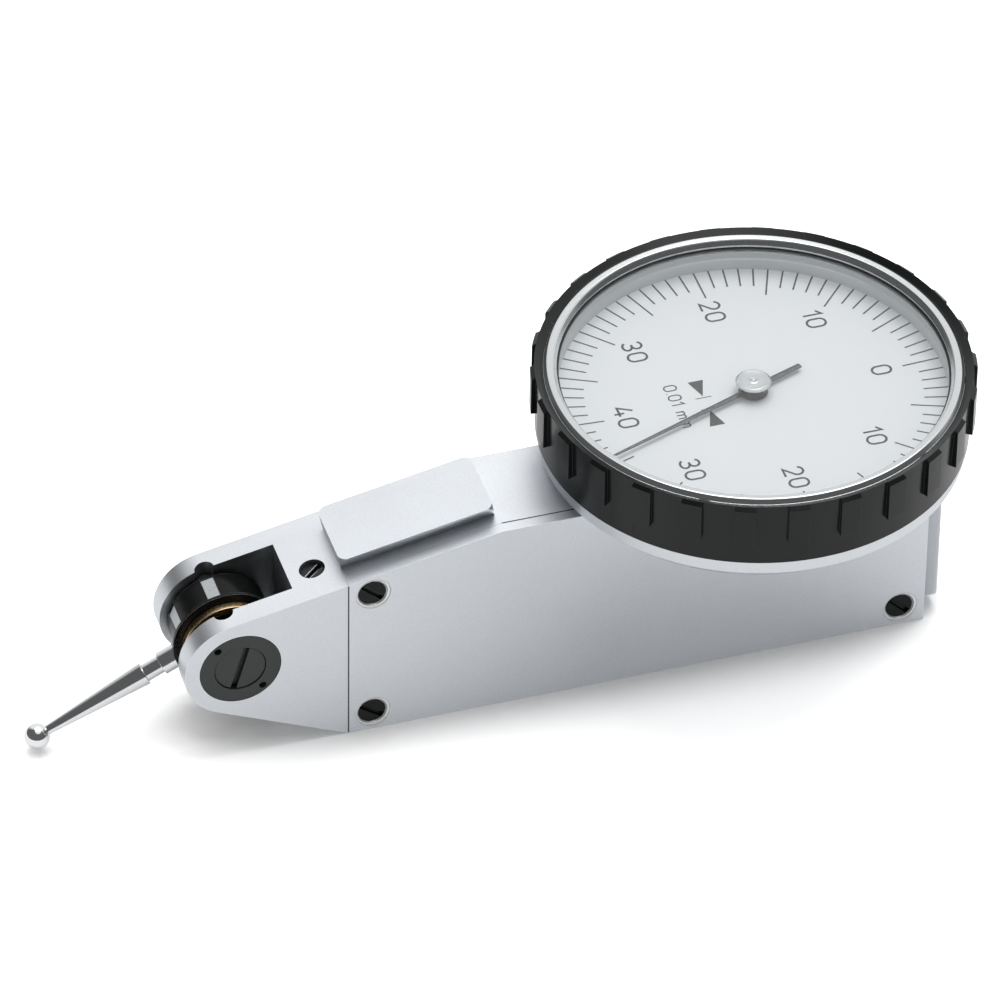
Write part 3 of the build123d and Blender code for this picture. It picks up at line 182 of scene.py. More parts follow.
@dataclass(frozen=True)
class Effect:
    """A surface effect that several finishes share, kept as one shader node group.

    Attributes:
        name: The group's name.
        inputs: Name and default of each float input.
        outputs: Names of the float outputs.
        fill: Makes the group's nodes between its input and output nodes.
    """

    name: str
    inputs: dict[str, float]
    outputs: tuple[str, ...]
    fill: Callable[[Graph, bpy.types.Node, bpy.types.Node], None]

    def group(self) -> bpy.types.NodeTree:
        """Gives the node group, built on its first use.

        Returns:
            The shader node group.
        """
        found = bpy.data.node_groups.get(self.name)
        if found is not None:
            return found
        tree = bpy.data.node_groups.new(self.name, "ShaderNodeTree")
        graph = Graph(tree)
        for name, default in self.inputs.items():
            socket = tree.interface.new_socket(name=name, in_out="INPUT", socket_type="NodeSocketFloat")
            socket.default_value = default
        for name in self.outputs:
            tree.interface.new_socket(name=name, in_out="OUTPUT", socket_type="NodeSocketFloat")
        self.fill(graph, graph.node("NodeGroupInput"), graph.node("NodeGroupOutput"))
        return tree

    def place(self, graph: Graph, **values: float) -> dict[str, bpy.types.NodeSocket]:
        """Places the effect in a material.

        Args:
            graph: The material's graph.
            values: Values of the group's inputs, with spaces in names written as underscores.

        Returns:
            The group's output sockets by name.
        """
        made = graph.node("ShaderNodeGroup", node_tree=self.group())
        for name, value in values.items():
            made.inputs[name.replace("_", " ")].default_value = value
        return {name: made.outputs[name] for name in self.outputs}


def fill_blast_grain(graph: Graph, source: bpy.types.Node, result: bpy.types.Node) -> None:
    """Fine speckle of a blasted and plated surface, with a slow drift of tone over it.

    Args:
        graph: The group's graph.
        source: Its input node.
        result: Its output node.
    """
    place = graph.node("ShaderNodeTexCoord").outputs["Object"]
    per_metre = graph.math("MULTIPLY", source.outputs["Grain per mm"], 1.0 / MM)
    fine = graph.noise(place, per_metre, 2.0, 0.6)
    coarse = graph.noise(place, graph.math("MULTIPLY", per_metre, 0.012), 3.0)
    speckle = graph.math("MULTIPLY", graph.math("SUBTRACT", fine, 0.5), source.outputs["Speckle"])
    drift = graph.math("MULTIPLY", graph.math("SUBTRACT", coarse, 0.5), source.outputs["Drift"])
    graph.link(graph.math("ADD", 1.0, graph.math("ADD", speckle, drift)), result.inputs["Tone"])
    graph.link(fine, result.inputs["Height"])
    graph.link(coarse, result.inputs["Patch"])


def fill_edge_wear(graph: Graph, source: bpy.types.Node, result: bpy.types.Node) -> None:
    """Mask of the sharp edges where a finish is rubbed, broken up by noise.

    Args:
        graph: The group's graph.
        source: Its input node.
        result: Its output node.
    """
    rounded = graph.node("ShaderNodeBevel", samples=4)
    graph.link(graph.math("MULTIPLY", source.outputs["Reach mm"], MM), rounded.inputs["Radius"])
    flat = graph.node("ShaderNodeNewGeometry").outputs["Normal"]
    dot = graph.node("ShaderNodeVectorMath", operation="DOT_PRODUCT")
    graph.link(rounded.outputs[0], dot.inputs[0])
    graph.link(flat, dot.inputs[1])
    turned = graph.span(dot.outputs["Value"], 0.995, 0.90, 0.0, 1.0)
    place = graph.node("ShaderNodeTexCoord").outputs["Object"]
    broken = graph.noise(place, 1800.0, 3.0, 0.6)
    patch = graph.span(broken, 0.35, 0.62, 0.25, 1.0)
    worn = graph.math("MULTIPLY", graph.math("MULTIPLY", turned, patch), source.outputs["Amount"], clamp=True)
    graph.link(worn, result.inputs["Worn"])


def fill_dust(graph: Graph, source: bpy.types.Node, result: bpy.types.Node) -> None:
    """Mask of tiny specks, more of them on faces that look up.

    Args:
        graph: The group's graph.
        source: Its input node.
        result: Its output node.
    """
    place = graph.node("ShaderNodeTexCoord").outputs["Object"]
    cells = graph.node("ShaderNodeTexVoronoi", feature="F1")
    graph.link(place, cells.inputs["Vector"])
    graph.link(graph.math("MULTIPLY", source.outputs["Specks per mm"], 1.0 / MM), cells.inputs["Scale"])
    near = graph.span(cells.outputs["Distance"], 0.02, 0.10, 1.0, 0.0)
    split = graph.node("ShaderNodeSeparateColor")
    graph.link(cells.outputs["Color"], split.inputs[0])
    chosen = graph.math("GREATER_THAN", split.outputs[0], 0.90)
    normal = graph.node("ShaderNodeSeparateXYZ")
    graph.link(graph.node("ShaderNodeNewGeometry").outputs["Normal"], normal.inputs[0])
    upward = graph.span(normal.outputs["Z"], -0.2, 0.9, 0.25, 1.0)
    specks = graph.math("MULTIPLY", graph.math("MULTIPLY", near, chosen), upward)
    graph.link(graph.math("MULTIPLY", specks, source.outputs["Amount"], clamp=True), result.inputs["Dust"])


def fill_hairlines(graph: Graph, source: bpy.types.Node, result: bpy.types.Node) -> None:
    """Fine parallel marks of turning or grinding, along the object's own X.

    Args:
        graph: The group's graph.
        source: Its input node.
        result: Its output node.
    """
    place = graph.node("ShaderNodeTexCoord").outputs["Object"]
    stretch = graph.node("ShaderNodeMapping", vector_type="POINT")
    graph.link(place, stretch.inputs["Vector"])
    stretch.inputs["Scale"].default_value = (0.02, 1.0, 1.0)
    lines = graph.noise(
        stretch.outputs[0], graph.math("MULTIPLY", source.outputs["Lines per mm"], 1.0 / MM), 2.0, 0.7
    )
    graph.link(lines, result.inputs["Height"])
    tone = graph.math("MULTIPLY", graph.math("SUBTRACT", lines, 0.5), source.outputs["Contrast"])
    graph.link(graph.math("ADD", 1.0, tone), result.inputs["Tone"])


def fill_hollow_shade(graph: Graph, source: bpy.types.Node, result: bpy.types.Node) -> None:
    """Mask of painted shade in narrow hollows, where little light comes, taken from ambient occlusion.

    Args:
        graph: The group's graph.
        source: Its input node.
        result: Its output node.
    """
    open_sky = graph.node("ShaderNodeAmbientOcclusion", samples=6)
    graph.link(graph.math("MULTIPLY", source.outputs["Reach mm"], MM), open_sky.inputs["Distance"])
    hidden = graph.span(open_sky.outputs["AO"], source.outputs["Closed"], source.outputs["Open"], 1.0, 0.0)
    graph.link(graph.math("MULTIPLY", hidden, source.outputs["Amount"], clamp=True), result.inputs["Shade"])


def fill_bore_mask(graph: Graph, source: bpy.types.Node, result: bpy.types.Node) -> None:
    """Mask of what lies within a radius of an axis along Y, with an edge that blurs over 1/12 mm.

    Args:
        graph: The group's graph.
        source: Its input node.
        result: Its output node.
    """
    place = graph.node("ShaderNodeSeparateXYZ")
    graph.link(graph.node("ShaderNodeTexCoord").outputs["Object"], place.inputs[0])
    across = graph.math("SUBTRACT", place.outputs["X"], graph.math("MULTIPLY", source.outputs["Axis x mm"], MM))
    rise = graph.math("SUBTRACT", place.outputs["Z"], graph.math("MULTIPLY", source.outputs["Axis z mm"], MM))
    squares = graph.math("ADD", graph.math("MULTIPLY", across, across), graph.math("MULTIPLY", rise, rise))
    radius = graph.math("MULTIPLY", graph.math("SQRT", squares), 1.0 / MM)
    past = graph.math("MULTIPLY", graph.math("SUBTRACT", source.outputs["Radius mm"], radius), 12.0)
    graph.link(graph.math("ADD", past, 0.5, clamp=True), result.inputs["Inside"])


def fill_fork_mask(graph: Graph, source: bpy.types.Node, result: bpy.types.Node) -> None:
    """Mask of what lies before a limit along X, towards the contact ball, with an edge that blurs over 1/2 mm.

    Args:
        graph: The group's graph.
        source: Its input node.
        result: Its output node.
    """
    place = graph.node("ShaderNodeSeparateXYZ")
    graph.link(graph.node("ShaderNodeTexCoord").outputs["Object"], place.inputs[0])
    short = graph.math("SUBTRACT", source.outputs["Limit x mm"], graph.math("MULTIPLY", place.outputs["X"], 1.0 / MM))
    graph.link(graph.math("MULTIPLY", short, 2.0, clamp=True), result.inputs["Before"])


BLAST_GRAIN = Effect(
    "blast_grain", {"Grain per mm": 14.0, "Speckle": 0.2, "Drift": 0.1}, ("Tone", "Height", "Patch"), fill_blast_grain
)
EDGE_WEAR = Effect("edge_wear", {"Reach mm": 0.08, "Amount": 0.6}, ("Worn",), fill_edge_wear)
DUST = Effect("dust", {"Specks per mm": 1.6, "Amount": 0.4}, ("Dust",), fill_dust)
HAIRLINES = Effect("hairlines", {"Lines per mm": 18.0, "Contrast": 0.2}, ("Height", "Tone"), fill_hairlines)
HOLLOW_SHADE = Effect(
    "hollow_shade", {"Reach mm": 0.35, "Amount": 0.8, "Closed": 0.50, "Open": 0.86}, ("Shade",), fill_hollow_shade
)
FORK_MASK = Effect("fork_mask", {"Limit x mm": 0.0}, ("Before",), fill_fork_mask)
BORE_MASK = Effect(
    "bore_mask", {"Axis x mm": 0.0, "Axis z mm": 0.0, "Radius mm": 1.0}, ("Inside",), fill_bore_mask
)


# ---------------------------------------------------------------------------
# Finishes
# ---------------------------------------------------------------------------

class Slot(Enum):
    """The record's material slots."""

    SATIN_BODY = "satin_body"
    BLACKENED_STEEL = "blackened_steel"
    SCREW_STEEL = "screw_steel"
    BRIGHT_STEEL = "bright_steel"
    BALL_CHROME = "ball_chrome"
    BRASS = "brass"
    BEZEL_BLACK = "bezel_black"
    RIM_CHROME = "rim_chrome"
    CRYSTAL_GLASS = "crystal_glass"
    RING_GREY = "ring_grey"
    DIAL_SILVER = "dial_silver"
    HAND_GREY = "hand_grey"
    JEWEL_RED = "jewel_red"
    SPRING_BRONZE = "spring_bronze"


def start_material(name: str) -> tuple[bpy.types.Material, Graph, bpy.types.Node]:
    """Makes a material with one Principled surface.

    Args:
        name: The material's name.

    Returns:
        The material, its graph and the Principled node.
    """
    material = bpy.data.materials.new(name)
    material.use_nodes = True
    graph = Graph(material.node_tree)
    surface = graph.node("ShaderNodeBsdfPrincipled")
    output = graph.node("ShaderNodeOutputMaterial")
    graph.link(surface.outputs[0], output.inputs["Surface"])
    return material, graph, surface


def add_bump(
    graph: Graph, surface: bpy.types.Node, height: bpy.types.NodeSocket, depth: float, strength: float
) -> None:
    """Feeds a height into the surface's normal.

    Args:
        graph: The material's graph.
        surface: The Principled node.
        height: The height's socket.
        depth: What a height of 1 stands for, in metres.
        strength: How strongly it counts.
    """
    bump = graph.node("ShaderNodeBump")
    bump.inputs["Strength"].default_value = strength
    bump.inputs["Distance"].default_value = depth
    graph.link(height, bump.inputs["Height"])
    graph.link(bump.outputs[0], surface.inputs["Normal"])


def drift(graph: Graph, patch: bpy.types.NodeSocket, low: float, high: float) -> bpy.types.NodeSocket:
    """A value that drifts from low to high with the grain's patches."""
    return graph.span(patch, 0.2, 0.8, low, high)


def scaled_colour(graph: Graph, colour: Colour, tone: bpy.types.NodeSocket) -> bpy.types.NodeSocket:
    """Multiplies a colour by a tone that changes over the surface.

    Args:
        graph: The material's graph.
        colour: The plain colour.
        tone: The tone's socket, about 1.

    Returns:
        The colour's socket.
    """
    made = graph.node("ShaderNodeVectorMath", operation="SCALE")
    made.inputs[0].default_value = colour
    graph.link(tone, made.inputs["Scale"])
    return made.outputs[0]


def worn_base(
    graph: Graph, colour: Colour, tone: bpy.types.NodeSocket, worn: bpy.types.NodeSocket, worn_colour: Colour
) -> bpy.types.NodeSocket:
    """Blends a toned colour into the colour of its rubbed edges."""
    return graph.blend(worn, scaled_colour(graph, colour, tone), rgba(worn_colour))


@dataclass(frozen=True)
class SatinPlate:
    """Blasted and satin plated metal with rubbed edges and painted shade deep in the fork's hollows.

    Attributes:
        name: The material's name.
        slot: The record's slot; not used.
        colour: The plate's colour.
        worn_colour: The colour of its rubbed edges.
        roughness: Its mean roughness.
        speckle: How much the grain changes the tone.
        grain_per_mm: How fine the grain is.
        painted_hollow_shade_colour: The colour of the painted shade deep in narrow hollows.
        hollow_reach_mm: How near the walls of such a hollow are.
        hollow_limit_mm: The hollow that is dark lies before this x.
    """

    name: str = "satin_plate"
    slot: Slot = Slot.SATIN_BODY
    colour: Colour = (0.655, 0.68, 0.71)
    worn_colour: Colour = (0.84, 0.85, 0.87)
    roughness: float = 0.40
    speckle: float = 0.30
    grain_per_mm: float = 11.0
    painted_hollow_shade_colour: Colour = (0.035, 0.036, 0.037)
    hollow_reach_mm: float = 2.4
    hollow_limit_mm: float = -24.4

    def build(self) -> bpy.types.Material:
        """Makes the material.

        Returns:
            The material.
        """
        material, graph, surface = start_material(self.name)
        grain = BLAST_GRAIN.place(graph, Grain_per_mm=self.grain_per_mm, Speckle=self.speckle, Drift=0.10)
        wear = EDGE_WEAR.place(graph, Reach_mm=0.10, Amount=0.75)
        # Painted shade: ambient occlusion darkens the fork's hollows, before hollow_limit_mm, towards
        # painted_hollow_shade_colour.
        hollow = HOLLOW_SHADE.place(graph, Reach_mm=self.hollow_reach_mm, Amount=0.92, Closed=0.12, Open=0.42)
        fork = FORK_MASK.place(graph, Limit_x_mm=self.hollow_limit_mm)
        base = worn_base(graph, self.colour, grain["Tone"], wear["Worn"], self.worn_colour)
        deep = graph.math("MULTIPLY", hollow["Shade"], fork["Before"])
        base = graph.blend(deep, base, rgba(self.painted_hollow_shade_colour))
        graph.link(base, surface.inputs["Base Color"])
        surface.inputs["Metallic"].default_value = 1.0
        rough = drift(graph, grain["Patch"], self.roughness - 0.05, self.roughness + 0.05)
        smoother = graph.math("MULTIPLY", wear["Worn"], 0.15)
        graph.link(graph.math("SUBTRACT", rough, smoother), surface.inputs["Roughness"])
        add_bump(graph, surface, grain["Height"], 0.006 * MM, 0.35)
        return material


@dataclass(frozen=True)
class BlackOxide:
    """Blackened steel: dark, slightly oily, with brighter rubbed edges and painted shade in its seams.

    Attributes:
        name: The material's name.
        slot: The record's slot; not used.
        colour: The oxide's colour.
        worn_colour: The colour where it is rubbed.
        roughness: Its mean roughness.
        wear: How much its edges are rubbed.
        wear_reach_mm: How far from an edge it is rubbed.
        metallic: How much it reflects as a metal.
        gloss: Its specular level.
        seam: How dark the painted shade in its seams is.
        painted_seam_shade_colour: The colour of that painted shade.
        dust_colour: The colour of its dust.
    """

    name: str = "black_oxide"
    slot: Slot = Slot.BLACKENED_STEEL
    colour: Colour = (0.035, 0.038, 0.038)
    worn_colour: Colour = (0.16, 0.165, 0.165)
    roughness: float = 0.38
    wear: float = 0.5
    wear_reach_mm: float = 0.05
    metallic: float = 0.35
    gloss: float = 0.5
    seam: float = 0.9
    painted_seam_shade_colour: Colour = (0.004, 0.004, 0.004)
    dust_colour: Colour = (0.35, 0.35, 0.34)

    def build(self) -> bpy.types.Material:
        """Makes the material.

        Returns:
            The material.
        """
        material, graph, surface = start_material(self.name)
        grain = BLAST_GRAIN.place(graph, Grain_per_mm=9.0, Speckle=0.5, Drift=0.5)
        wear = EDGE_WEAR.place(graph, Reach_mm=self.wear_reach_mm, Amount=self.wear)
        dust = DUST.place(graph, Specks_per_mm=2.2, Amount=0.35)
        # Painted shade: ambient occlusion darkens seams and creases towards painted_seam_shade_colour.
        seam = HOLLOW_SHADE.place(graph, Reach_mm=0.25, Amount=self.seam, Closed=0.55, Open=0.85)
        base = worn_base(graph, self.colour, grain["Tone"], wear["Worn"], self.worn_colour)
        base = graph.blend(seam["Shade"], base, rgba(self.painted_seam_shade_colour))
        graph.link(graph.blend(dust["Dust"], base, rgba(self.dust_colour)), surface.inputs["Base Color"])
        surface.inputs["Metallic"].default_value = self.metallic
        surface.inputs["Specular IOR Level"].default_value = self.gloss
        rough = drift(graph, grain["Patch"], self.roughness - 0.08, self.roughness + 0.10)
        graph.link(rough, surface.inputs["Roughness"])
        add_bump(graph, surface, grain["Height"], 0.004 * MM, 0.3)
        return material


@dataclass(frozen=True)
class PolishedMetal:
    """Ground, turned or polished bare metal.

    Attributes:
        name: The material's name.
        slot: The record's slot; not used.
        colour: The metal's colour.
        roughness: Its mean roughness.
        line_contrast: How much its hairlines change the tone.
        bump: How deep the hairlines read.
    """

    name: str
    slot: Slot
    colour: Colour
    roughness: float = 0.12
    line_contrast: float = 0.12
    bump: float = 0.1

    def build(self) -> bpy.types.Material:
        """Makes the material.

        Returns:
            The material.
        """
        material, graph, surface = start_material(self.name)
        lines = HAIRLINES.place(graph, Lines_per_mm=16.0, Contrast=self.line_contrast)
        graph.link(scaled_colour(graph, self.colour, lines["Tone"]), surface.inputs["Base Color"])
        surface.inputs["Metallic"].default_value = 1.0
        graph.link(
            graph.span(lines["Height"], 0.25, 0.75, self.roughness * 0.8, self.roughness * 1.25),
            surface.inputs["Roughness"],
        )
        add_bump(graph, surface, lines["Height"], 0.003 * MM, self.bump)
        return material


@dataclass(frozen=True)
class BrassWithPaintedShade:
    """Turned brass with painted shade in its middle, about an axis along Y.

    Attributes:
        name: The material's name.
        slot: The record's slot; not used.
        axis_mm: x and z of the axis, in millimetres.
        shade_radius_mm: Radius of the painted shade in the middle.
        colour: The bare brass.
        painted_shade_colour: The colour of that painted shade.
    """

    name: str
    slot: Slot
    axis_mm: Point2
    shade_radius_mm: float
    colour: Colour = (0.86, 0.62, 0.36)
    painted_shade_colour: Colour = (0.03, 0.022, 0.014)

    def build(self) -> bpy.types.Material:
        """Makes the material.

        Returns:
            The material.
        """
        material, graph, surface = start_material(self.name)
        lines = HAIRLINES.place(graph, Lines_per_mm=14.0, Contrast=0.5)
        # Painted shade: the brass is darkened within shade_radius_mm of the axis.
        middle = BORE_MASK.place(
            graph, Axis_x_mm=self.axis_mm[0], Axis_z_mm=self.axis_mm[1], Radius_mm=self.shade_radius_mm
        )
        bare = scaled_colour(graph, self.colour, lines["Tone"])
        graph.link(graph.blend(middle["Inside"], bare, rgba(self.painted_shade_colour)), surface.inputs["Base Color"])
        surface.inputs["Metallic"].default_value = 1.0
        graph.link(graph.span(lines["Height"], 0.25, 0.75, 0.20, 0.36), surface.inputs["Roughness"])
        add_bump(graph, surface, lines["Height"], 0.003 * MM, 0.3)
        return material


@dataclass(frozen=True)
class BlackAnodised:
    """Glossy black of the ribbed bezel, with fine grain, rubbed ribs and a few specks of dust.

    Attributes:
        name: The material's name.
        slot: The record's slot; not used.
        colour: The black.
        worn_colour: The colour of its rubbed edges.
        dust_colour: The colour of its dust.
        roughness: Its mean roughness.
        gloss: Its specular level.
    """

    name: str = "black_anodised"
    slot: Slot = Slot.BEZEL_BLACK
    colour: Colour = (0.0055, 0.0068, 0.0066)
    worn_colour: Colour = (0.035, 0.038, 0.038)
    dust_colour: Colour = (0.30, 0.31, 0.31)
    roughness: float = 0.22
    gloss: float = 0.26

    def build(self) -> bpy.types.Material:
        """Makes the material.

        Returns:
            The material.
        """
        material, graph, surface = start_material(self.name)
        grain = BLAST_GRAIN.place(graph, Grain_per_mm=10.0, Speckle=1.2, Drift=0.6)
        wear = EDGE_WEAR.place(graph, Reach_mm=0.07, Amount=0.55)
        dust = DUST.place(graph, Specks_per_mm=1.8, Amount=0.30)
        base = worn_base(graph, self.colour, grain["Tone"], wear["Worn"], self.worn_colour)
        graph.link(graph.blend(dust["Dust"], base, rgba(self.dust_colour)), surface.inputs["Base Color"])
        rough = drift(graph, grain["Patch"], self.roughness - 0.05, self.roughness + 0.08)
        graph.link(rough, surface.inputs["Roughness"])
        surface.inputs["Specular IOR Level"].default_value = self.gloss
        add_bump(graph, surface, grain["Height"], 0.004 * MM, 0.25)
        return material


@dataclass(frozen=True)
class PaintedFace:
    """Matt or satin paint, print or lacquer with a fine grain.

    Attributes:
        name: The material's name.
        slot: The record's slot; not used.
        colour: The paint's colour.
        roughness: Its roughness.
        metallic: How much it reflects as a metal.
        speckle: How much the grain changes the tone.
        drift: How much slow patches change the tone.
    """

    name: str
    slot: Slot
    colour: Colour
    roughness: float = 0.5
    metallic: float = 0.0
    speckle: float = 0.05
    drift: float = 0.04

    def build(self) -> bpy.types.Material:
        """Makes the material.

        Returns:
            The material.
        """
        material, graph, surface = start_material(self.name)
        grain = BLAST_GRAIN.place(graph, Grain_per_mm=16.0, Speckle=self.speckle, Drift=self.drift)
        graph.link(scaled_colour(graph, self.colour, grain["Tone"]), surface.inputs["Base Color"])
        surface.inputs["Metallic"].default_value = self.metallic
        rough = drift(graph, grain["Patch"], self.roughness - 0.04, self.roughness + 0.04)
        graph.link(rough, surface.inputs["Roughness"])
        add_bump(graph, surface, grain["Height"], 0.002 * MM, 0.2)
        return material


@dataclass(frozen=True)
class WatchCrystal:
    """Clear crystal over the dial, which lets light through to what it covers.

    Attributes:
        name: The material's name.
        slot: The record's slot; not used.
        colour: Its faint tint.
        ior: Its index of refraction.
    """

    name: str = "watch_crystal"
    slot: Slot = Slot.CRYSTAL_GLASS
    colour: Colour = (0.985, 0.99, 0.99)
    ior: float = 1.46

    def build(self) -> bpy.types.Material:
        """Makes the material.

        Returns:
            The material.
        """
        material, graph, surface = start_material(self.name)
        surface.inputs["Base Color"].default_value = rgba(self.colour)
        surface.inputs["Metallic"].default_value = 0.0
        surface.inputs["Roughness"].default_value = 0.0
        surface.inputs["IOR"].default_value = self.ior
        surface.inputs["Transmission Weight"].default_value = 1.0
        clear = graph.node("ShaderNodeBsdfTransparent")
        path = graph.node("ShaderNodeLightPath")
        passing = graph.math("MAXIMUM", path.outputs["Is Shadow Ray"], path.outputs["Is Diffuse Ray"])
        mixed = graph.node("ShaderNodeMixShader")
        graph.link(passing, mixed.inputs[0])
        graph.link(surface.outputs[0], mixed.inputs[1])
        graph.link(clear.outputs[0], mixed.inputs[2])
        output = next(n for n in graph.tree.nodes if n.type == "OUTPUT_MATERIAL")
        graph.link(mixed.outputs[0], output.inputs["Surface"])
        return material


Finish = SatinPlate | BlackOxide | PolishedMetal | BrassWithPaintedShade | BlackAnodised | PaintedFace | WatchCrystal

SATIN = SatinPlate()
OXIDE = BlackOxide()
DRUM_BLACK = BlackOxide(
    name="drum_black", colour=(0.005, 0.0056, 0.0056), worn_colour=(0.30, 0.31, 0.31), roughness=0.22, wear=0.9,
    metallic=0.0, gloss=0.14, seam=0.5,
)
SCREW = BlackOxide(
    name="screw_steel", slot=Slot.SCREW_STEEL, colour=(0.035, 0.038, 0.04), worn_colour=(0.78, 0.79, 0.80),
    roughness=0.26, wear=1.0, wear_reach_mm=0.12, metallic=0.85, seam=0.9,
)
STEEL = PolishedMetal("bright_steel", Slot.BRIGHT_STEEL, (0.62, 0.64, 0.65), 0.20, 0.25, 0.25)
COVER_SCREW = BlackOxide(
    name="cover_screw", slot=Slot.SCREW_STEEL, colour=(0.010, 0.011, 0.011), worn_colour=(0.30, 0.31, 0.31),
    roughness=0.24, wear=0.4, wear_reach_mm=0.05, metallic=0.6, gloss=0.3, seam=0.9,
)
BARE_METAL = PaintedFace("bare_metal", Slot.BRIGHT_STEEL, (0.86, 0.87, 0.88), 0.35, 0.6, 0.2, 0.1)
KEY_STEEL = PolishedMetal("key_steel", Slot.BRIGHT_STEEL, (0.40, 0.42, 0.43), 0.34, 0.6, 0.4)
STYLUS_STEEL = PolishedMetal("stylus_steel", Slot.BRIGHT_STEEL, (0.70, 0.72, 0.73), 0.13, 0.35, 0.3)
CHROME_BALL = PolishedMetal("chrome_ball", Slot.BALL_CHROME, (0.78, 0.79, 0.80), 0.05, 0.03, 0.02)
CHROME_RIM = PolishedMetal("chrome_rim", Slot.RIM_CHROME, (0.62, 0.64, 0.65), 0.20, 0.04, 0.03)
HUB_CHROME = PolishedMetal("hub_chrome", Slot.RIM_CHROME, (0.50, 0.52, 0.53), 0.24, 0.10, 0.05)
TURNED_BRASS = PolishedMetal("turned_brass", Slot.BRASS, (0.62, 0.42, 0.20), 0.26, 0.35, 0.3)
BRONZE = PolishedMetal("spring_bronze", Slot.SPRING_BRONZE, (0.50, 0.30, 0.16), 0.22, 0.2, 0.15)
BEZEL = BlackAnodised()
CRYSTAL = WatchCrystal()
RING_PAINT = PaintedFace("ring_grey", Slot.RING_GREY, (0.50, 0.53, 0.55), 0.35, 0.0, 0.08, 0.10)
DIAL_PAINT = PaintedFace("dial_silver", Slot.DIAL_SILVER, (0.74, 0.77, 0.79), 0.55, 0.0, 0.05, 0.03)
DIAL_INK = PaintedFace("dial_ink", Slot.HAND_GREY, (0.011, 0.013, 0.014), 0.55, 0.0, 0.5, 0.3)
HAND_LACQUER = PaintedFace("hand_lacquer", Slot.HAND_GREY, (0.05, 0.053, 0.056), 0.34, 0.5, 0.3, 0.1)
HUB_BLACK = PaintedFace("hub_black", Slot.HAND_GREY, (0.03, 0.032, 0.034), 0.25, 0.7, 0.2, 0.1)
GASKET = PaintedFace("gasket_black", Slot.BEZEL_BLACK, (0.02, 0.021, 0.021), 0.5)
RUBY = PaintedFace("bearing_ruby", Slot.JEWEL_RED, (0.42, 0.02, 0.05), 0.08)


class Palette:
    """Builds each finish once and hands out its material."""

    def __init__(self) -> None:
        """Starts with nothing built."""
        self.made: dict[str, bpy.types.Material] = {}

    def material(self, finish: Finish) -> bpy.types.Material:
        """Gives the material of a finish.

        Args:
            finish: The finish wanted.

        Returns:
            Its material, built on its first use.
        """
        if finish.name not in self.made:
            self.made[finish.name] = finish.build()
        return self.made[finish.name]

    def dress(self, piece: bpy.types.Object, finish: Finish) -> None:
        """Puts a finish on a whole piece."""
        piece.data.materials.clear()
        piece.data.materials.append(self.material(finish))


# ---------------------------------------------------------------------------
# Meshes
# ---------------------------------------------------------------------------

class Body(Enum):
    """The CAD bodies that pieces ride on."""

    CASE = "body"
    LEVER = "lever"
    STYLUS = "stylus"
    POINTER = "pointer"
    BEZEL = "bezel"


def link_object(name: str, data: bpy.types.ID) -> bpy.types.Object:
    """Puts a mesh, a camera or a lamp in the scene as a new object.

    Args:
        name: The object's name.
        data: Its mesh, camera or lamp data.

    Returns:
        The new object.
    """
    made = bpy.data.objects.new(name, data)
    bpy.context.scene.collection.objects.link(made)
    return made


def mesh_from(name: str, points: Sequence[Sequence[float]], faces: Sequence[Sequence[int]]) -> bpy.types.Mesh:
    """Makes a mesh from points in millimetres.

    Args:
        name: The mesh's name.
        points: Its points, in millimetres.
        faces: Its faces, as point numbers.

    Returns:
        The mesh, in metres.
    """
    mesh = bpy.data.meshes.new(name)
    mesh.from_pydata([tuple(c * MM for c in p) for p in points], [], [list(f) for f in faces])
    mesh.validate()
    return mesh


@dataclass(frozen=True)
class SoftEdge:
    """How the edges of a piece are eased.

    Attributes:
        width_mm: Width of the easing.
        segments: Number of facets across it.
        angle: Edges sharper than this are eased, in degrees.
    """

    width_mm: float = 0.06
    segments: int = 2
    angle: float = 32.0

    def ease(self, piece: bpy.types.Object) -> None:
        """Adds the easing to a piece as a bevel modifier.

        Args:
            piece: A mesh object.
        """
        bevel = piece.modifiers.new("ease", "BEVEL")
        bevel.width = self.width_mm * MM
        bevel.segments = self.segments
        bevel.limit_method = "ANGLE"
        bevel.angle_limit = math.radians(self.angle)
        bevel.use_clamp_overlap = True
        bevel.harden_normals = True


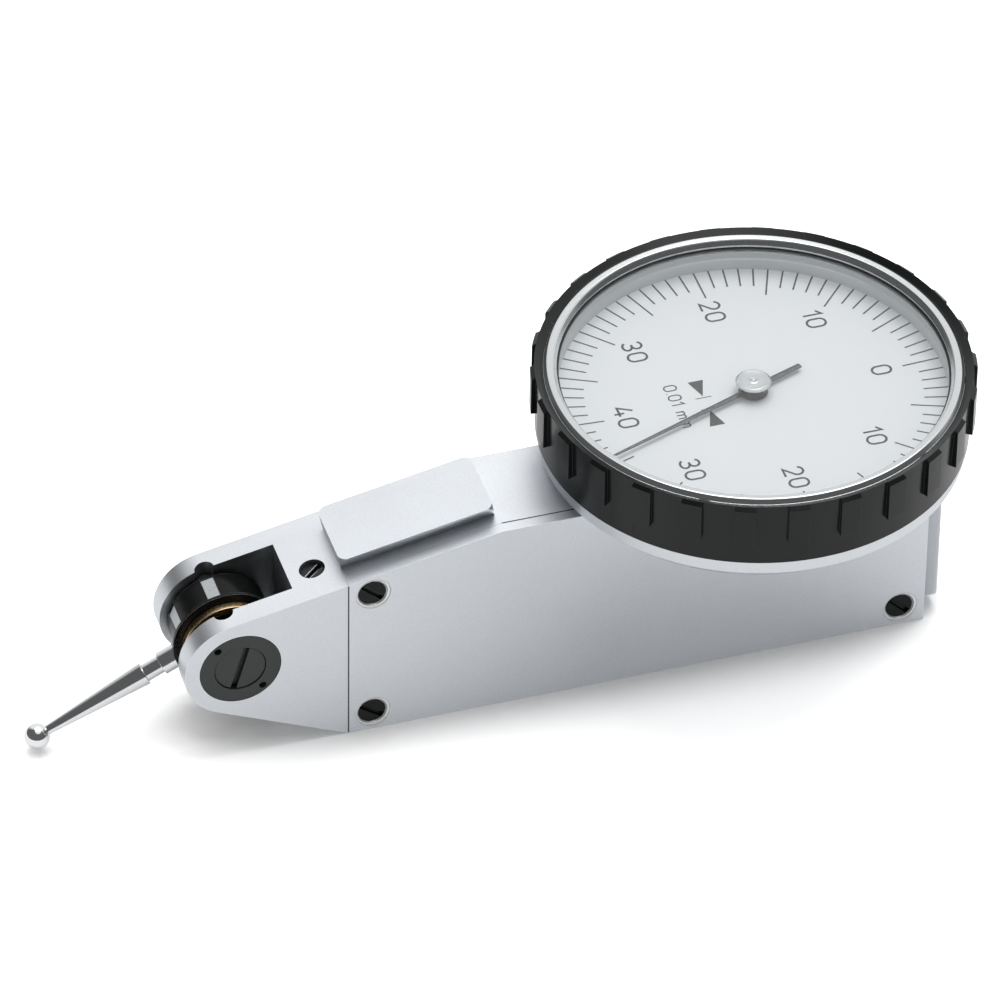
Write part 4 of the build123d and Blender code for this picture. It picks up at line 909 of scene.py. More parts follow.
class Workshop:
    """Turns CAD nodes into eased pieces and adds new pieces to the bodies."""

    def __init__(self, palette: Palette) -> None:
        """Takes the palette that finishes come from."""
        self.palette = palette

    def plain(self, node: str, finish: Finish) -> None:
        """Keeps a CAD node as it is and gives it a finish.

        Args:
            node: The node's name.
            finish: Its finish.
        """
        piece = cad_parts[node]
        self.palette.dress(piece, finish)
        LOG.info("kept %s in %s", node, finish.name)

    def eased(
        self, node: str, body: Body, finish: Finish, edge: SoftEdge, trim: Callable[[Vector], Vector] | None = None
    ) -> None:
        """Replaces a CAD node with the same solid whose edges are eased.

        Args:
            node: The node's name.
            body: The body that it rides on.
            finish: Its finish.
            edge: How its edges are eased.
            trim: Moves single points, where the real piece is finer than the solid.
        """
        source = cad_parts[node].data
        shape = bmesh.new()
        shape.from_mesh(source)
        bmesh.ops.remove_doubles(shape, verts=shape.verts, dist=0.0005 * MM)
        bmesh.ops.dissolve_limit(
            shape, angle_limit=math.radians(0.4), verts=shape.verts, edges=shape.edges, delimit=set()
        )
        points = [tuple(trim(v.co.copy()) if trim else v.co) for v in shape.verts]
        shape.verts.index_update()
        faces = [[v.index for v in f.verts] for f in shape.faces]
        shape.free()
        mesh = bpy.data.meshes.new(f"{node}_eased")
        mesh.from_pydata(points, [], faces)
        mesh.validate()
        mesh.shade_smooth()
        piece = link_object(f"{node}_eased", mesh)
        edge.ease(piece)
        self.palette.dress(piece, finish)
        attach(piece, body.value)
        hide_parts(node)
        LOG.info("eased %s in %s", node, finish.name)

    def added(self, piece: bpy.types.Object, body: Body, finish: Finish) -> None:
        """Adds a new piece to a body.

        Args:
            piece: The piece, in place.
            body: The body that it rides on.
            finish: Its finish.
        """
        self.palette.dress(piece, finish)
        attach(piece, body.value)
        LOG.info("added %s in %s", piece.name, finish.name)


@dataclass(frozen=True)
class TurnedSize:
    """Place and size of a solid turned about a vertical axis, in millimetres.

    Attributes:
        axis: x and y of its axis.
        radius: Its radius.
        foot: Height of its foot.
        top: Height of its top.
    """

    axis: Point2
    radius: float
    foot: float
    top: float

    @classmethod
    def of(cls, box: tuple[Vector, Vector]) -> "TurnedSize":
        """Reads the size off a box.

        Args:
            box: The solid's two corners, in metres.

        Returns:
            The size.
        """
        low, high = box
        axis = ((low.x + high.x) / 2 / MM, (low.y + high.y) / 2 / MM)
        return cls(axis, (high.x - low.x) / 2 / MM, low.z / MM, high.z / MM)


def turned_ring(name: str, profile: Sequence[Point2], centre: Point2, steps: int = 180) -> bpy.types.Object:
    """Turns a closed profile about a vertical axis.

    Args:
        name: The object's name.
        profile: Radius and height of its corners, in millimetres; a radius of 0 makes a pole.
        centre: x and y of the axis, in millimetres.
        steps: Number of facets round it.

    Returns:
        The new object.
    """
    shape = bmesh.new()
    rings: list[list[bmesh.types.BMVert]] = []
    for radius, height in profile:
        count = steps if radius > 0 else 1
        rings.append([
            shape.verts.new((
                (centre[0] + radius * math.cos(2 * math.pi * i / steps)) * MM,
                (centre[1] + radius * math.sin(2 * math.pi * i / steps)) * MM,
                height * MM,
            ))
            for i in range(count)
        ])
    for first, second in zip(rings, rings[1:] + rings[:1]):
        if len(first) == 1 and len(second) == 1:
            continue
        for i in range(steps):
            j = (i + 1) % steps
            corners = [first[i % len(first)], first[j % len(first)], second[j % len(second)], second[i % len(second)]]
            kept = [v for k, v in enumerate(corners) if v not in corners[:k]]
            shape.faces.new(kept)
    bmesh.ops.recalc_face_normals(shape, faces=shape.faces)
    mesh = bpy.data.meshes.new(name)
    shape.to_mesh(mesh)
    shape.free()
    mesh.shade_smooth()
    return link_object(name, mesh)


# ---------------------------------------------------------------------------
# Dial printing
# ---------------------------------------------------------------------------

def arc(centre: Point2, radii: Point2, start: float, end: float, steps: int = 14) -> list[Point2]:
    """Points along an elliptical arc of the given half width and half height, from start to end in degrees."""
    turns = [math.radians(start + (end - start) * i / steps) for i in range(steps + 1)]
    return [(centre[0] + radii[0] * math.cos(t), centre[1] + radii[1] * math.sin(t)) for t in turns]


STROKES: dict[str, tuple[float, list[list[Point2]]]] = {
    "0": (0.62, [
        arc((0.31, 0.69), (0.31, 0.31), 0, 180) + arc((0.31, 0.31), (0.31, 0.31), 180, 360) + [(0.62, 0.69)],
    ]),
    "1": (0.36, [[(0.02, 0.74), (0.30, 1.0), (0.30, 0.0)]]),
    "2": (0.60, [arc((0.30, 0.70), (0.29, 0.30), 165, -40) + [(0.02, 0.0), (0.61, 0.0)]]),
    "3": (0.60, [
        arc((0.29, 0.74), (0.26, 0.26), 160, -90),
        arc((0.29, 0.24), (0.30, 0.24), 90, -160),
        [(0.18, 0.48), (0.30, 0.48)],
    ]),
    "4": (0.66, [[(0.38, 1.0), (0.0, 0.26), (0.68, 0.26)], [(0.48, 0.52), (0.48, 0.0)]]),
    ".": (0.10, [[(0.05, 0.0), (0.05, 0.07)]]),
    "m": (0.86, [
        [(0.04, 0.0), (0.04, 0.66)],
        [(0.04, 0.46)] + arc((0.25, 0.45), (0.18, 0.20), 150, 0, 8) + [(0.43, 0.0)],
        [(0.43, 0.45)] + arc((0.63, 0.45), (0.19, 0.20), 160, 0, 8) + [(0.82, 0.0)],
    ]),
    " ": (0.30, []),
}


@dataclass
class Ribbon:
    """Flat strokes laid on the dial, gathered in one mesh.

    Attributes:
        height: Height of the dial face, in millimetres.
        points: Points so far.
        faces: Faces so far.
    """

    height: float
    points: list[Point3] = field(default_factory=list)
    faces: list[tuple[int, ...]] = field(default_factory=list)

    def stroke(self, path: Sequence[Point2], width: float) -> None:
        """Adds a stroke of even width with square ends.

        Args:
            path: Its centre line, in dial millimetres.
            width: Its width, in millimetres.
        """
        first = len(self.points)
        line = [Vector((*p, 0.0)) for p in path]
        for i, point in enumerate(line):
            before = line[max(i - 1, 0)]
            after = line[min(i + 1, len(line) - 1)]
            ways = [(b - a).normalized() for a, b in ((before, point), (point, after)) if (b - a).length > 1e-6]
            middle = (ways[0] + ways[-1]).normalized()
            side = Vector((-middle.y, middle.x, 0.0))
            reach = width / 2 / max(0.45, side.dot(Vector((-ways[0].y, ways[0].x, 0.0))))
            for sign in (-1, 1):
                spot = point + side * sign * reach
                self.points.append((spot.x, spot.y, self.height))
        for i in range(len(line) - 1):
            a = first + 2 * i
            self.faces.append((a, a + 2, a + 3, a + 1))

    def patch(self, corners: Sequence[Point2]) -> None:
        """Adds a filled outline.

        Args:
            corners: Its corners, in dial millimetres.
        """
        first = len(self.points)
        self.points += [(x, y, self.height) for x, y in corners]
        self.faces.append(tuple(range(first, first + len(corners))))

    def words(self, text: str, centre: Point2, size: float, weight: float, gap: float) -> None:
        """Writes a line that reads along -Y with its top towards +X.

        Args:
            text: The characters.
            centre: The middle of the line, in dial millimetres.
            size: Height of a digit, in millimetres.
            weight: Width of the strokes, in millimetres.
            gap: Space between characters, as a share of the size.
        """
        total = sum(STROKES[c][0] for c in text) + gap * (len(text) - 1)
        along = -total / 2
        for character in text:
            advance, strokes = STROKES[character]
            for stroke in strokes:
                self.stroke(
                    [(centre[0] + (v - 0.5) * size, centre[1] - (along + u) * size) for u, v in stroke], weight
                )
            along += advance + gap

    def mesh(self, name: str, centre_x: float) -> bpy.types.Mesh:
        """Makes the mesh, with the dial's axis at centre_x in millimetres."""
        return mesh_from(name, [(x + centre_x, y, z) for x, y, z in self.points], self.faces)


# ---------------------------------------------------------------------------
# Sub-assemblies
# ---------------------------------------------------------------------------

@dataclass
class CaseAssembly:
    """Plated body block with its cover, screws, bearings and the movement inside.

    Attributes:
        shop: Where pieces are made.
        edge: Easing of the plated block.
        cover_edge: Easing of the side cover.
        screw_edge: Easing of the screws.
        bearing_edge: Easing of the pivot rings and plugs.
        seam_shade_width: Width of the dark line of painted shade in a seam, in millimetres.
        seam_proud: How far that line stands out of the plate.
        seam_depth: How deep it reaches into the seam.
        seam_foot: How far over the base the front line starts.
        seam_head: How far under the slope it ends.
        seam_inset: How far from both ends of the level top the other line stops.
        sink_under: How far a countersink reaches under its screw's head.
        sink_reach: How far it reaches out round it.
        sink_lip: How far its outer edge lies under the plate's face.
        sink_depth: How deep its cone goes.
        sink_shift: How far its inner edge lies off its middle, which widens it lower right.
    """

    shop: Workshop
    seam_shade_width: float = 0.10
    seam_proud: float = 0.006
    seam_depth: float = 0.08
    seam_foot: float = 0.09
    seam_head: float = 0.06
    seam_inset: float = 0.2
    sink_under: float = 0.10
    sink_reach: float = 0.165
    sink_lip: float = 0.004
    sink_depth: float = 0.092
    sink_shift: float = 0.085
    edge: SoftEdge = SoftEdge(0.11, 3)
    cover_edge: SoftEdge = SoftEdge(0.10, 3)
    screw_edge: SoftEdge = SoftEdge(0.11, 3)
    bearing_edge: SoftEdge = SoftEdge(0.07, 2)

    def build(self) -> None:
        """Makes and dresses every piece of the case."""
        self.block()
        self.seams()
        self.fasteners()
        self.movement()

    def block(self) -> None:
        """The plated block, its cover and the cup under the dial."""
        self.shop.eased("body_casing", Body.CASE, SATIN, self.edge)
        self.shop.eased("side_cover", Body.CASE, SATIN, self.cover_edge)
        self.shop.eased("dial_base", Body.CASE, SATIN, self.edge)

    def seams(self) -> None:
        """The dark lines of painted shade in the side cover's front seam and in its seam on the level top."""
        low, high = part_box("side_cover")
        cover = [v.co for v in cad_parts["side_cover"].data.vertices]
        near = 0.01 * MM
        slope = max(v.z for v in cover if v.x < low.x + near)
        bend = min(v.x for v in cover if v.z > high.z - near)
        proud, inset = self.seam_proud * MM, self.seam_inset * MM
        across_x, across_y = Vector((1.0, 0.0, 0.0)), Vector((0.0, 1.0, 0.0))
        self.seam_shade_line(
            "cover_seam_shade_front", Vector((low.x, low.y - proud, self.seam_foot * MM)),
            Vector((low.x, low.y - proud, slope - self.seam_head * MM)), across_x, across_y,
        )
        self.seam_shade_line(
            "cover_seam_shade_top", Vector((bend + inset, high.y, high.z + proud)),
            Vector((high.x - inset, high.y, high.z + proud)), across_y, Vector((0.0, 0.0, -1.0)),
        )

    def seam_shade_line(self, name: str, start: Vector, end: Vector, across: Vector, inward: Vector) -> None:
        """A thin dark wedge of painted shade that fills a seam.

        Args:
            name: The piece's name.
            start: One end of its visible middle line.
            end: The other end.
            across: Direction across the seam.
            inward: Direction into it.
        """
        half = across * self.seam_shade_width / 2 * MM
        foot = inward * self.seam_depth * MM
        points = [(end_point + step) / MM for end_point in (start, end) for step in (-half, half, foot)]
        faces = [(0, 1, 2), (5, 4, 3), (0, 3, 4, 1), (1, 4, 5, 2), (2, 5, 3, 0)]
        # Painted shade: the wedge takes the gasket's dark finish.
        self.shop.added(link_object(name, mesh_from(name, points, faces)), Body.CASE, GASKET)

    def countersink(self, number: int) -> None:
        """The bare, turned cone between a cover screw's head and the plate.

        Args:
            number: The screw's number.
        """
        low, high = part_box(f"cover_screw_{number}")
        face = -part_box("side_cover")[0].y / MM
        radius = (high.x - low.x) / 2 / MM
        inner, outer = radius - self.sink_under, radius + self.sink_reach
        bottom = face - self.sink_depth
        profile = ((inner, bottom), (outer, face - self.sink_lip), (outer, bottom))
        piece = turned_ring(f"countersink_{number}", profile, (0.0, 0.0), 64)
        for vertex in piece.data.vertices:
            if vertex.co.xy.length < radius * MM:
                vertex.co += Vector((-self.sink_shift, self.sink_shift, 0.0)) * MM
        middle = Vector(((low.x + high.x) / 2, 0.0, (low.z + high.z) / 2))
        piece.data.transform(Matrix.Translation(middle) @ Matrix.Rotation(math.radians(90), 4, "X"))
        self.shop.added(piece, Body.CASE, BARE_METAL)

    def fasteners(self) -> None:
        """Screws and the two pivot bearings in the fork."""
        for number in range(1, 5):
            self.countersink(number)
            self.shop.eased(f"cover_screw_{number}", Body.CASE, COVER_SCREW, self.screw_edge)
        self.shop.eased("adjusting_screw", Body.CASE, SCREW, self.screw_edge)
        for side in ("near", "far"):
            self.shop.eased(f"pivot_ring_{side}", Body.CASE, OXIDE, self.bearing_edge)
            self.shop.eased(f"pivot_plug_{side}", Body.CASE, OXIDE, self.bearing_edge)

    def movement(self) -> None:
        """The pieces that the case carries inside."""
        for node in ("movement_bridge", "bridge_pillar_upper", "bridge_pillar_lower", "spindle_bush"):
            self.shop.plain(node, TURNED_BRASS)
        for node in (
            "bridge_screw_upper", "bridge_screw_lower", "dial_base_screw_front", "dial_base_screw_rear",
            "centring_pin", "stop_pin_upper", "stop_pin_lower", "hairspring_stud",
        ):
            self.shop.plain(node, STEEL)
        for node in ("arbor_jewel_near", "arbor_jewel_far", "spindle_jewel"):
            self.shop.plain(node, RUBY)
        self.shop.plain("hairspring", BRONZE)
        self.shop.plain("bezel_retainer", STEEL)


@dataclass
class LeverAssembly:
    """Axle, friction bush, toothed arm and the swivelling contact arm.

    Attributes:
        shop: Where pieces are made.
        fine_edge: Easing of the small pieces.
        shade_radius: Radius of the painted shade in the middle of the brass bush.
    """

    shop: Workshop
    fine_edge: SoftEdge = SoftEdge(0.05, 2)
    shade_radius: float = 2.86

    def build(self) -> None:
        """Makes and dresses the lever and the contact arm."""
        low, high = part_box("friction_bush")
        axis = ((low.x + high.x) / 2 / MM, (low.z + high.z) / 2 / MM)
        bush_brass = BrassWithPaintedShade("bush_brass", Slot.BRASS, axis, self.shade_radius)
        self.shop.eased("friction_bush", Body.LEVER, bush_brass, self.fine_edge)
        self.shop.eased("sector_arm", Body.LEVER, STEEL, SoftEdge(0.03, 1))
        for node in ("pivot_axle", "axle_collar"):
            self.shop.plain(node, STEEL)
        self.shop.plain("centring_spring", BRONZE)
        self.shop.eased("swivel_drum", Body.STYLUS, DRUM_BLACK, self.fine_edge)
        for number in range(1, 5):
            self.shop.eased(f"drum_key_{number}", Body.STYLUS, KEY_STEEL, SoftEdge(0.03, 2))
        self.shop.eased("stylus_shaft", Body.STYLUS, STYLUS_STEEL, SoftEdge(0.03, 2))
        self.ball()

    def ball(self) -> None:
        """Polished contact ball, rounder than its CAD facets."""
        low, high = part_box("contact_ball")
        centre = (low + high) / 2
        radius = (high.y - low.y) / 2
        shape = bmesh.new()
        bmesh.ops.create_icosphere(shape, subdivisions=5, radius=radius)
        ball_mesh = bpy.data.meshes.new("contact_ball_round")
        shape.to_mesh(ball_mesh)
        shape.free()
        ball_mesh.transform(Matrix.Translation(centre))
        ball_mesh.shade_smooth()
        piece = link_object("contact_ball_round", ball_mesh)
        self.shop.added(piece, Body.STYLUS, CHROME_BALL)
        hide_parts("contact_ball")


@dataclass
class TrainAssembly:
    """Crown wheel and pinions.

    Attributes:
        shop: Where pieces are made.
    """

    shop: Workshop

    def build(self) -> None:
        """Dresses the wheels."""
        self.shop.plain("crown_wheel", TURNED_BRASS)
        for node in ("crown_arbor", "arbor_pinion", "pointer_spindle", "spindle_pinion"):
            self.shop.plain(node, STEEL)
        self.shop.plain("hairspring_collet", TURNED_BRASS)


@dataclass
class PointerAssembly:
    """Ridged hand on its post, under a turned hub cap.

    Attributes:
        shop: Where pieces are made.
        angle: Where the hand points at rest, in degrees from +X.
        tip_reach: Radius of its tip, in millimetres.
        tail_reach: Radius of its tail's end.
        root_width: Its width by the hub.
        tip_width: Its width at the tip.
        tail_width: The tail's width at its end.
        ridge: How far its middle stands over its edges.
        thickness: Its thickness at the ridge.
        post_radius: Radius of the post under the cap.
        post_gap: Gap between the dial and the post's foot.
        post_seat: How far the post reaches into the cap.
        cap_radius: Radius of the cap.
        cap_rise: How far the cap's top stands over the CAD cap's.
        cap_height: Height of the cap.
    """

    shop: Workshop
    angle: float = -160.0
    tip_reach: float = 12.5
    tail_reach: float = 4.3
    root_width: float = 0.50
    tip_width: float = 0.20
    tail_width: float = 0.46
    ridge: float = 0.05
    thickness: float = 0.12
    post_radius: float = 1.08
    post_gap: float = 0.04
    post_seat: float = 0.02
    cap_radius: float = 1.30
    cap_rise: float = 0.20
    cap_height: float = 0.30

    def build(self) -> None:
        """Makes and dresses the hand, its post and the cap."""
        solid = TurnedSize.of(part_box("hub_cap"))
        top = solid.top + self.cap_rise
        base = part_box("dial_plate")[1].z / MM
        self.hand(solid.axis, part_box("pointer_hand")[1].z / MM)
        self.post(solid.axis, base + self.post_gap, top - self.cap_height + self.post_seat)
        self.cap(solid.axis, top)

    def hand(self, centre: Point2, top: float) -> None:
        """The hand: a thin blade whose middle is a low ridge.

        Args:
            centre: x and y of the hub, in millimetres.
            top: Height of its ridge.
        """
        turn = math.radians(self.angle)
        along = (math.cos(turn), math.sin(turn))
        stations = (
            (-self.tail_reach, self.tail_width / 2), (0.0, self.root_width / 2), (self.tip_reach, self.tip_width / 2)
        )
        edge = top - self.ridge
        bottom = top - self.thickness
        points: list[Point3] = []
        for reach, half in stations:
            for side, height in ((-half, bottom), (-half, edge), (0.0, top), (half, edge), (half, bottom)):
                points.append((
                    centre[0] + reach * along[0] - side * along[1],
                    centre[1] + reach * along[1] + side * along[0],
                    height,
                ))
        faces: list[tuple[int, ...]] = [(0, 1, 2, 3, 4), (14, 13, 12, 11, 10)]
        for first in (0, 5):
            for k in range(5):
                following = (k + 1) % 5
                faces.append((first + k, first + 5 + k, first + 5 + following, first + following))
        piece = link_object("pointer_hand_ridged", mesh_from("pointer_hand_ridged", points, faces))
        SoftEdge(0.012, 1, 10.0).ease(piece)
        self.shop.added(piece, Body.POINTER, HAND_LACQUER)
        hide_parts("pointer_hand")

    def post(self, centre: Point2, low: float, high: float) -> None:
        """The dark post that carries the hand.

        Args:
            centre: x and y of the hub, in millimetres.
            low: Height of its foot.
            high: Height of its top.
        """
        radius = self.post_radius
        waist = radius - 0.10
        foot = [(0.0, low), (radius - 0.08, low), (radius, low + 0.08)]
        stem = [(waist, low + 0.30), (waist, high - 0.2)]
        head = [(radius, high), (0.0, high)]
        piece = turned_ring("hub_post", foot + stem + head, centre, 72)
        SoftEdge(0.02, 2).ease(piece)
        self.shop.added(piece, Body.POINTER, HUB_BLACK)

    def cap(self, centre: Point2, top: float) -> None:
        """The bright cap, with a turned step and a centre mark.

        Args:
            centre: x and y of the hub, in millimetres.
            top: Height of its top.
        """
        radius = self.cap_radius
        low = top - self.cap_height
        side = [(0.0, low), (radius - 0.14, low), (radius, low + 0.10), (radius, low + 0.16)]
        shoulder = [(radius - 0.13, top - 0.04), (radius - 0.20, top)]
        step = [(radius - 0.34, top), (radius - 0.38, top - 0.05), (0.40, top - 0.05)]
        centre_mark = [(0.34, top - 0.02), (0.24, top - 0.02), (0.14, top - 0.13), (0.0, top - 0.15)]
        piece = turned_ring("hub_cap_turned", side + shoulder + step + centre_mark, centre, 96)
        SoftEdge(0.02, 2, 14.0).ease(piece)
        self.shop.added(piece, Body.POINTER, HUB_CHROME)
        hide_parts("hub_cap")


@dataclass(frozen=True)
class ValueMark:
    """The value of one division, with two arrows that meet at its bars.

    Attributes:
        text_place: Middle of the text, in dial millimetres.
        text_size: Height of its letters.
        text_weight: Width of their strokes.
        text_gap: Gap between two letters.
        middle: Point half way between the arrows' tips.
        tip: How far a tip lies from it.
        base: How far an arrow's base lies from it.
        base_half: Half the width of that base.
        bar: How far a bar lies from the middle.
        bar_half: Half its length.
        bar_width: Its width.
    """

    text_place: Point2 = (-5.58, -0.02)
    text_size: float = 0.92
    text_weight: float = 0.115
    text_gap: float = 0.24
    middle: Point2 = (-3.60, -0.22)
    tip: float = 0.80
    base: float = 2.55
    base_half: float = 0.58
    bar: float = 0.64
    bar_half: float = 0.60
    bar_width: float = 0.08

    def draw(self, ink: Ribbon) -> None:
        """Draws the text, the arrows and their bars.

        Args:
            ink: Where they are drawn.
        """
        ink.words("0.01 mm", self.text_place, self.text_size, self.text_weight, self.text_gap)
        x, y = self.middle
        for sign in (-1, 1):
            base = y + sign * self.base
            corners = [(x, y + sign * self.tip), (x - self.base_half, base), (x + self.base_half, base)]
            ink.patch(corners if sign > 0 else corners[::-1])
            bar = y + sign * self.bar
            ink.stroke([(x - self.bar_half, bar), (x + self.bar_half, bar)], self.bar_width)


@dataclass
class BezelAssembly:
    """Turning bezel with its crystal and printed dial.

    Attributes:
        shop: Where pieces are made.
        divisions: Number of divisions of one turn.
        tick_outer: Radius where every tick starts, in millimetres.
        tick_short: Length of a plain tick.
        tick_long: Length of every fifth tick.
        tick_width: Width of a tick.
        number_radius: Radius of the numbers' middles.
        number_size: Height of a digit.
        number_weight: Width of a digit's strokes.
        number_gap: Gap between two digits.
        mark: The value of one division, with its arrows.
        print_lift: How far the ink lies above the dial face.
        print_turn: How far the printing is turned, in degrees.
        print_shift: How far it lies to the side of the axis, in dial millimetres.
        lip_rise: How far the bezel's outer lip stands over its solid.
        lip_spread: How far that lip stands out.
        lip_fall: How far the inner edge of its top lies under its solid.
        rib_rise: How far the tops of its ribs stand over their solid.
        trim_depth: How far down from its top the ring is changed.
        rib_band: How far in from the ribs' outside their tops reach.
        lip_band: How far in from the ribs' outside the lip reaches.
        rim_width: Width of the chrome rim.
        glass_gap: Gap between the rim and the crystal's edge.
    """

    shop: Workshop
    divisions: int = 80
    tick_outer: float = 14.12
    tick_short: float = 1.94
    tick_long: float = 2.90
    tick_width: float = 0.13
    number_radius: float = 9.62
    number_size: float = 1.40
    number_weight: float = 0.18
    number_gap: float = 0.30
    mark: ValueMark = ValueMark()
    print_lift: float = 0.006
    print_turn: float = -0.5
    print_shift: Point2 = (0.02, -0.15)
    lip_rise: float = 0.16
    lip_spread: float = 0.10
    lip_fall: float = 0.24
    rib_rise: float = 0.18
    trim_depth: float = 0.45
    rib_band: float = 0.2
    lip_band: float = 0.6
    rim_width: float = 0.99
    glass_gap: float = 0.02

    def build(self) -> None:
        """Makes and dresses everything that turns with the bezel."""
        self.ring()
        self.rim()
        self.gasket()
        self.shop.plain("inner_ring", RING_PAINT)
        self.shop.plain("dial_plate", DIAL_PAINT)
        self.shop.plain("crystal", CRYSTAL)
        self.printing()

    def ring(self) -> None:
        """The ribbed ring, with the lip that stands round its dished top."""
        solid = TurnedSize.of(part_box("bezel_ring"))
        centre = Vector((solid.axis[0] * MM, solid.axis[1] * MM, 0.0))

        def trim(point: Vector) -> Vector:
            """Moves a point of the ring's top edge and leaves the others.

            Args:
                point: A point of the solid's mesh.

            Returns:
                Where it goes.
            """
            arm = Vector((point.x - centre.x, point.y - centre.y, 0.0))
            radius = arm.length / MM
            height = point.z / MM
            if height < solid.top - self.trim_depth:
                return point
            if radius > solid.radius - self.rib_band:
                return point + Vector((0.0, 0.0, self.rib_rise * MM))
            if radius > solid.radius - self.lip_band:
                return point + arm.normalized() * self.lip_spread * MM + Vector((0.0, 0.0, self.lip_rise * MM))
            return point - Vector((0.0, 0.0, self.lip_fall * MM))

        self.shop.eased("bezel_ring", Body.BEZEL, BEZEL, SoftEdge(0.06, 2, 20.0), trim)

    def rim(self) -> None:
        """The chrome rim: a steep inner bevel, a nearly flat crest and a short outer slope."""
        solid = TurnedSize.of(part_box("crystal_rim"))
        glass = TurnedSize.of(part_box("crystal"))
        seat = glass.radius + self.glass_gap
        outer, top = solid.radius, solid.top
        inner = outer - self.rim_width
        wall = [(inner, glass.top), (inner, glass.top + 0.26)]
        bevel = [(inner + 0.20, top - 0.12), (inner + 0.30, top - 0.035)]
        crest = [(inner + 0.66, top), (inner + 0.74, top - 0.03)]
        slope = [(outer - 0.02, top - 0.32), (outer, top - 0.38)]
        foot = [(outer, glass.foot), (seat, glass.foot), (seat, glass.top)]
        piece = turned_ring("crystal_rim_turned", wall + bevel + crest + slope + foot, solid.axis, 240)
        SoftEdge(0.035, 2, 12.0).ease(piece)
        self.shop.added(piece, Body.BEZEL, CHROME_RIM)
        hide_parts("crystal_rim")

    def gasket(self) -> None:
        """The thin dark seal that shows between the rim and the crystal."""
        solid = TurnedSize.of(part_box("crystal_rim"))
        outer = solid.radius - self.rim_width
        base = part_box("crystal")[1].z / MM
        profile = ((outer - 0.14, base), (outer - 0.12, base + 0.03), (outer, base + 0.04), (outer, base))
        self.shop.added(turned_ring("crystal_gasket", profile, solid.axis, 200), Body.BEZEL, GASKET)

    def printing(self) -> None:
        """Ticks, numbers and the mark of one division's value."""
        dial = TurnedSize.of(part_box("dial_plate"))
        ink = Ribbon(dial.top + self.print_lift)
        self.ticks(ink)
        self.numbers(ink)
        self.mark.draw(ink)
        piece = link_object("dial_printing", ink.mesh("dial_printing", dial.axis[0]))
        self.shop.added(piece, Body.BEZEL, DIAL_INK)

    def ticks(self, ink: Ribbon) -> None:
        """Draws the graduation.

        Args:
            ink: Where it is drawn.
        """
        for index in range(self.divisions):
            turn = 2 * math.pi * index / self.divisions + math.radians(self.print_turn)
            way = (math.cos(turn), math.sin(turn))
            inner = self.tick_outer - (self.tick_long if index % 5 == 0 else self.tick_short)
            starts = (self.print_shift[0] + inner * way[0], self.print_shift[1] + inner * way[1])
            ink.stroke([starts, (self.tick_outer * way[0], self.tick_outer * way[1])], self.tick_width)

    def numbers(self, ink: Ribbon) -> None:
        """Draws the numbers, which count up both ways from the rear.

        Args:
            ink: Where they are drawn.
        """
        for step in range(-3, 5):
            turn = math.radians(45 * step + self.print_turn)
            spot = (
                self.print_shift[0] + self.number_radius * math.cos(turn),
                self.print_shift[1] + self.number_radius * math.sin(turn),
            )
            ink.words(str(10 * abs(step)), spot, self.number_size, self.number_weight, self.number_gap)


# ---------------------------------------------------------------------------
# Stage
# ---------------------------------------------------------------------------

@dataclass
class PhotoCamera:
    """Camera at the photograph's angle, fitted to the object's own sizes.

    Attributes:
        azimuth: Turn of the view from +Y towards +X, in degrees.
        elevation: Height above the horizon, in degrees.
        roll: Clockwise lean of what is upright, in degrees.
        target_mm: Point of the object that the view is fitted about.
        target_pixel: Where that point lies in the 1000 by 1000 image.
        pixels_per_mm: Scale at that point.
        distance_mm: Distance to that point.
        image_size: Side of the image in pixels.
        sensor_mm: Width of the sensor.
        clip: Nearest and farthest distance drawn, in metres.
    """

    azimuth: float = 18.8129
    elevation: float = 40.6601
    roll: float = 1.4926
    target_mm: Point3 = (-1.9, 0.0, 10.0)
    target_pixel: Point2 = (598.292, 539.411)
    pixels_per_mm: float = 13.8876
    distance_mm: float = 618.96
    image_size: int = 1000
    sensor_mm: float = 36.0
    clip: Point2 = (0.05, 10.0)

    def build(self) -> None:
        """Makes the camera and makes it the scene's."""
        turn, rise, lean = (math.radians(a) for a in (self.azimuth, self.elevation, self.roll))
        forward = Vector((math.sin(turn) * math.cos(rise), math.cos(turn) * math.cos(rise), -math.sin(rise)))
        right = Vector((math.cos(turn), -math.sin(turn), 0.0))
        up = right.cross(forward)
        camera_right = right * math.cos(lean) + up * math.sin(lean)
        camera_up = up * math.cos(lean) - right * math.sin(lean)
        data = bpy.data.cameras.new("photo_camera")
        data.sensor_width = self.sensor_mm
        data.sensor_fit = "HORIZONTAL"
        focal_pixels = self.pixels_per_mm * self.distance_mm
        data.lens = focal_pixels * self.sensor_mm / self.image_size
        half = self.image_size / 2
        data.shift_x = (half - self.target_pixel[0]) / self.image_size
        data.shift_y = (self.target_pixel[1] - half) / self.image_size
        data.clip_start, data.clip_end = self.clip
        camera = link_object("photo_camera", data)
        place = Vector(self.target_mm) * MM - forward * self.distance_mm * MM
        turned = Matrix((camera_right, camera_up, -forward)).transposed().to_4x4()
        camera.matrix_world = Matrix.Translation(place) @ turned
        bpy.context.scene.camera = camera
        LOG.info("camera with a lens of %.1f mm", data.lens)


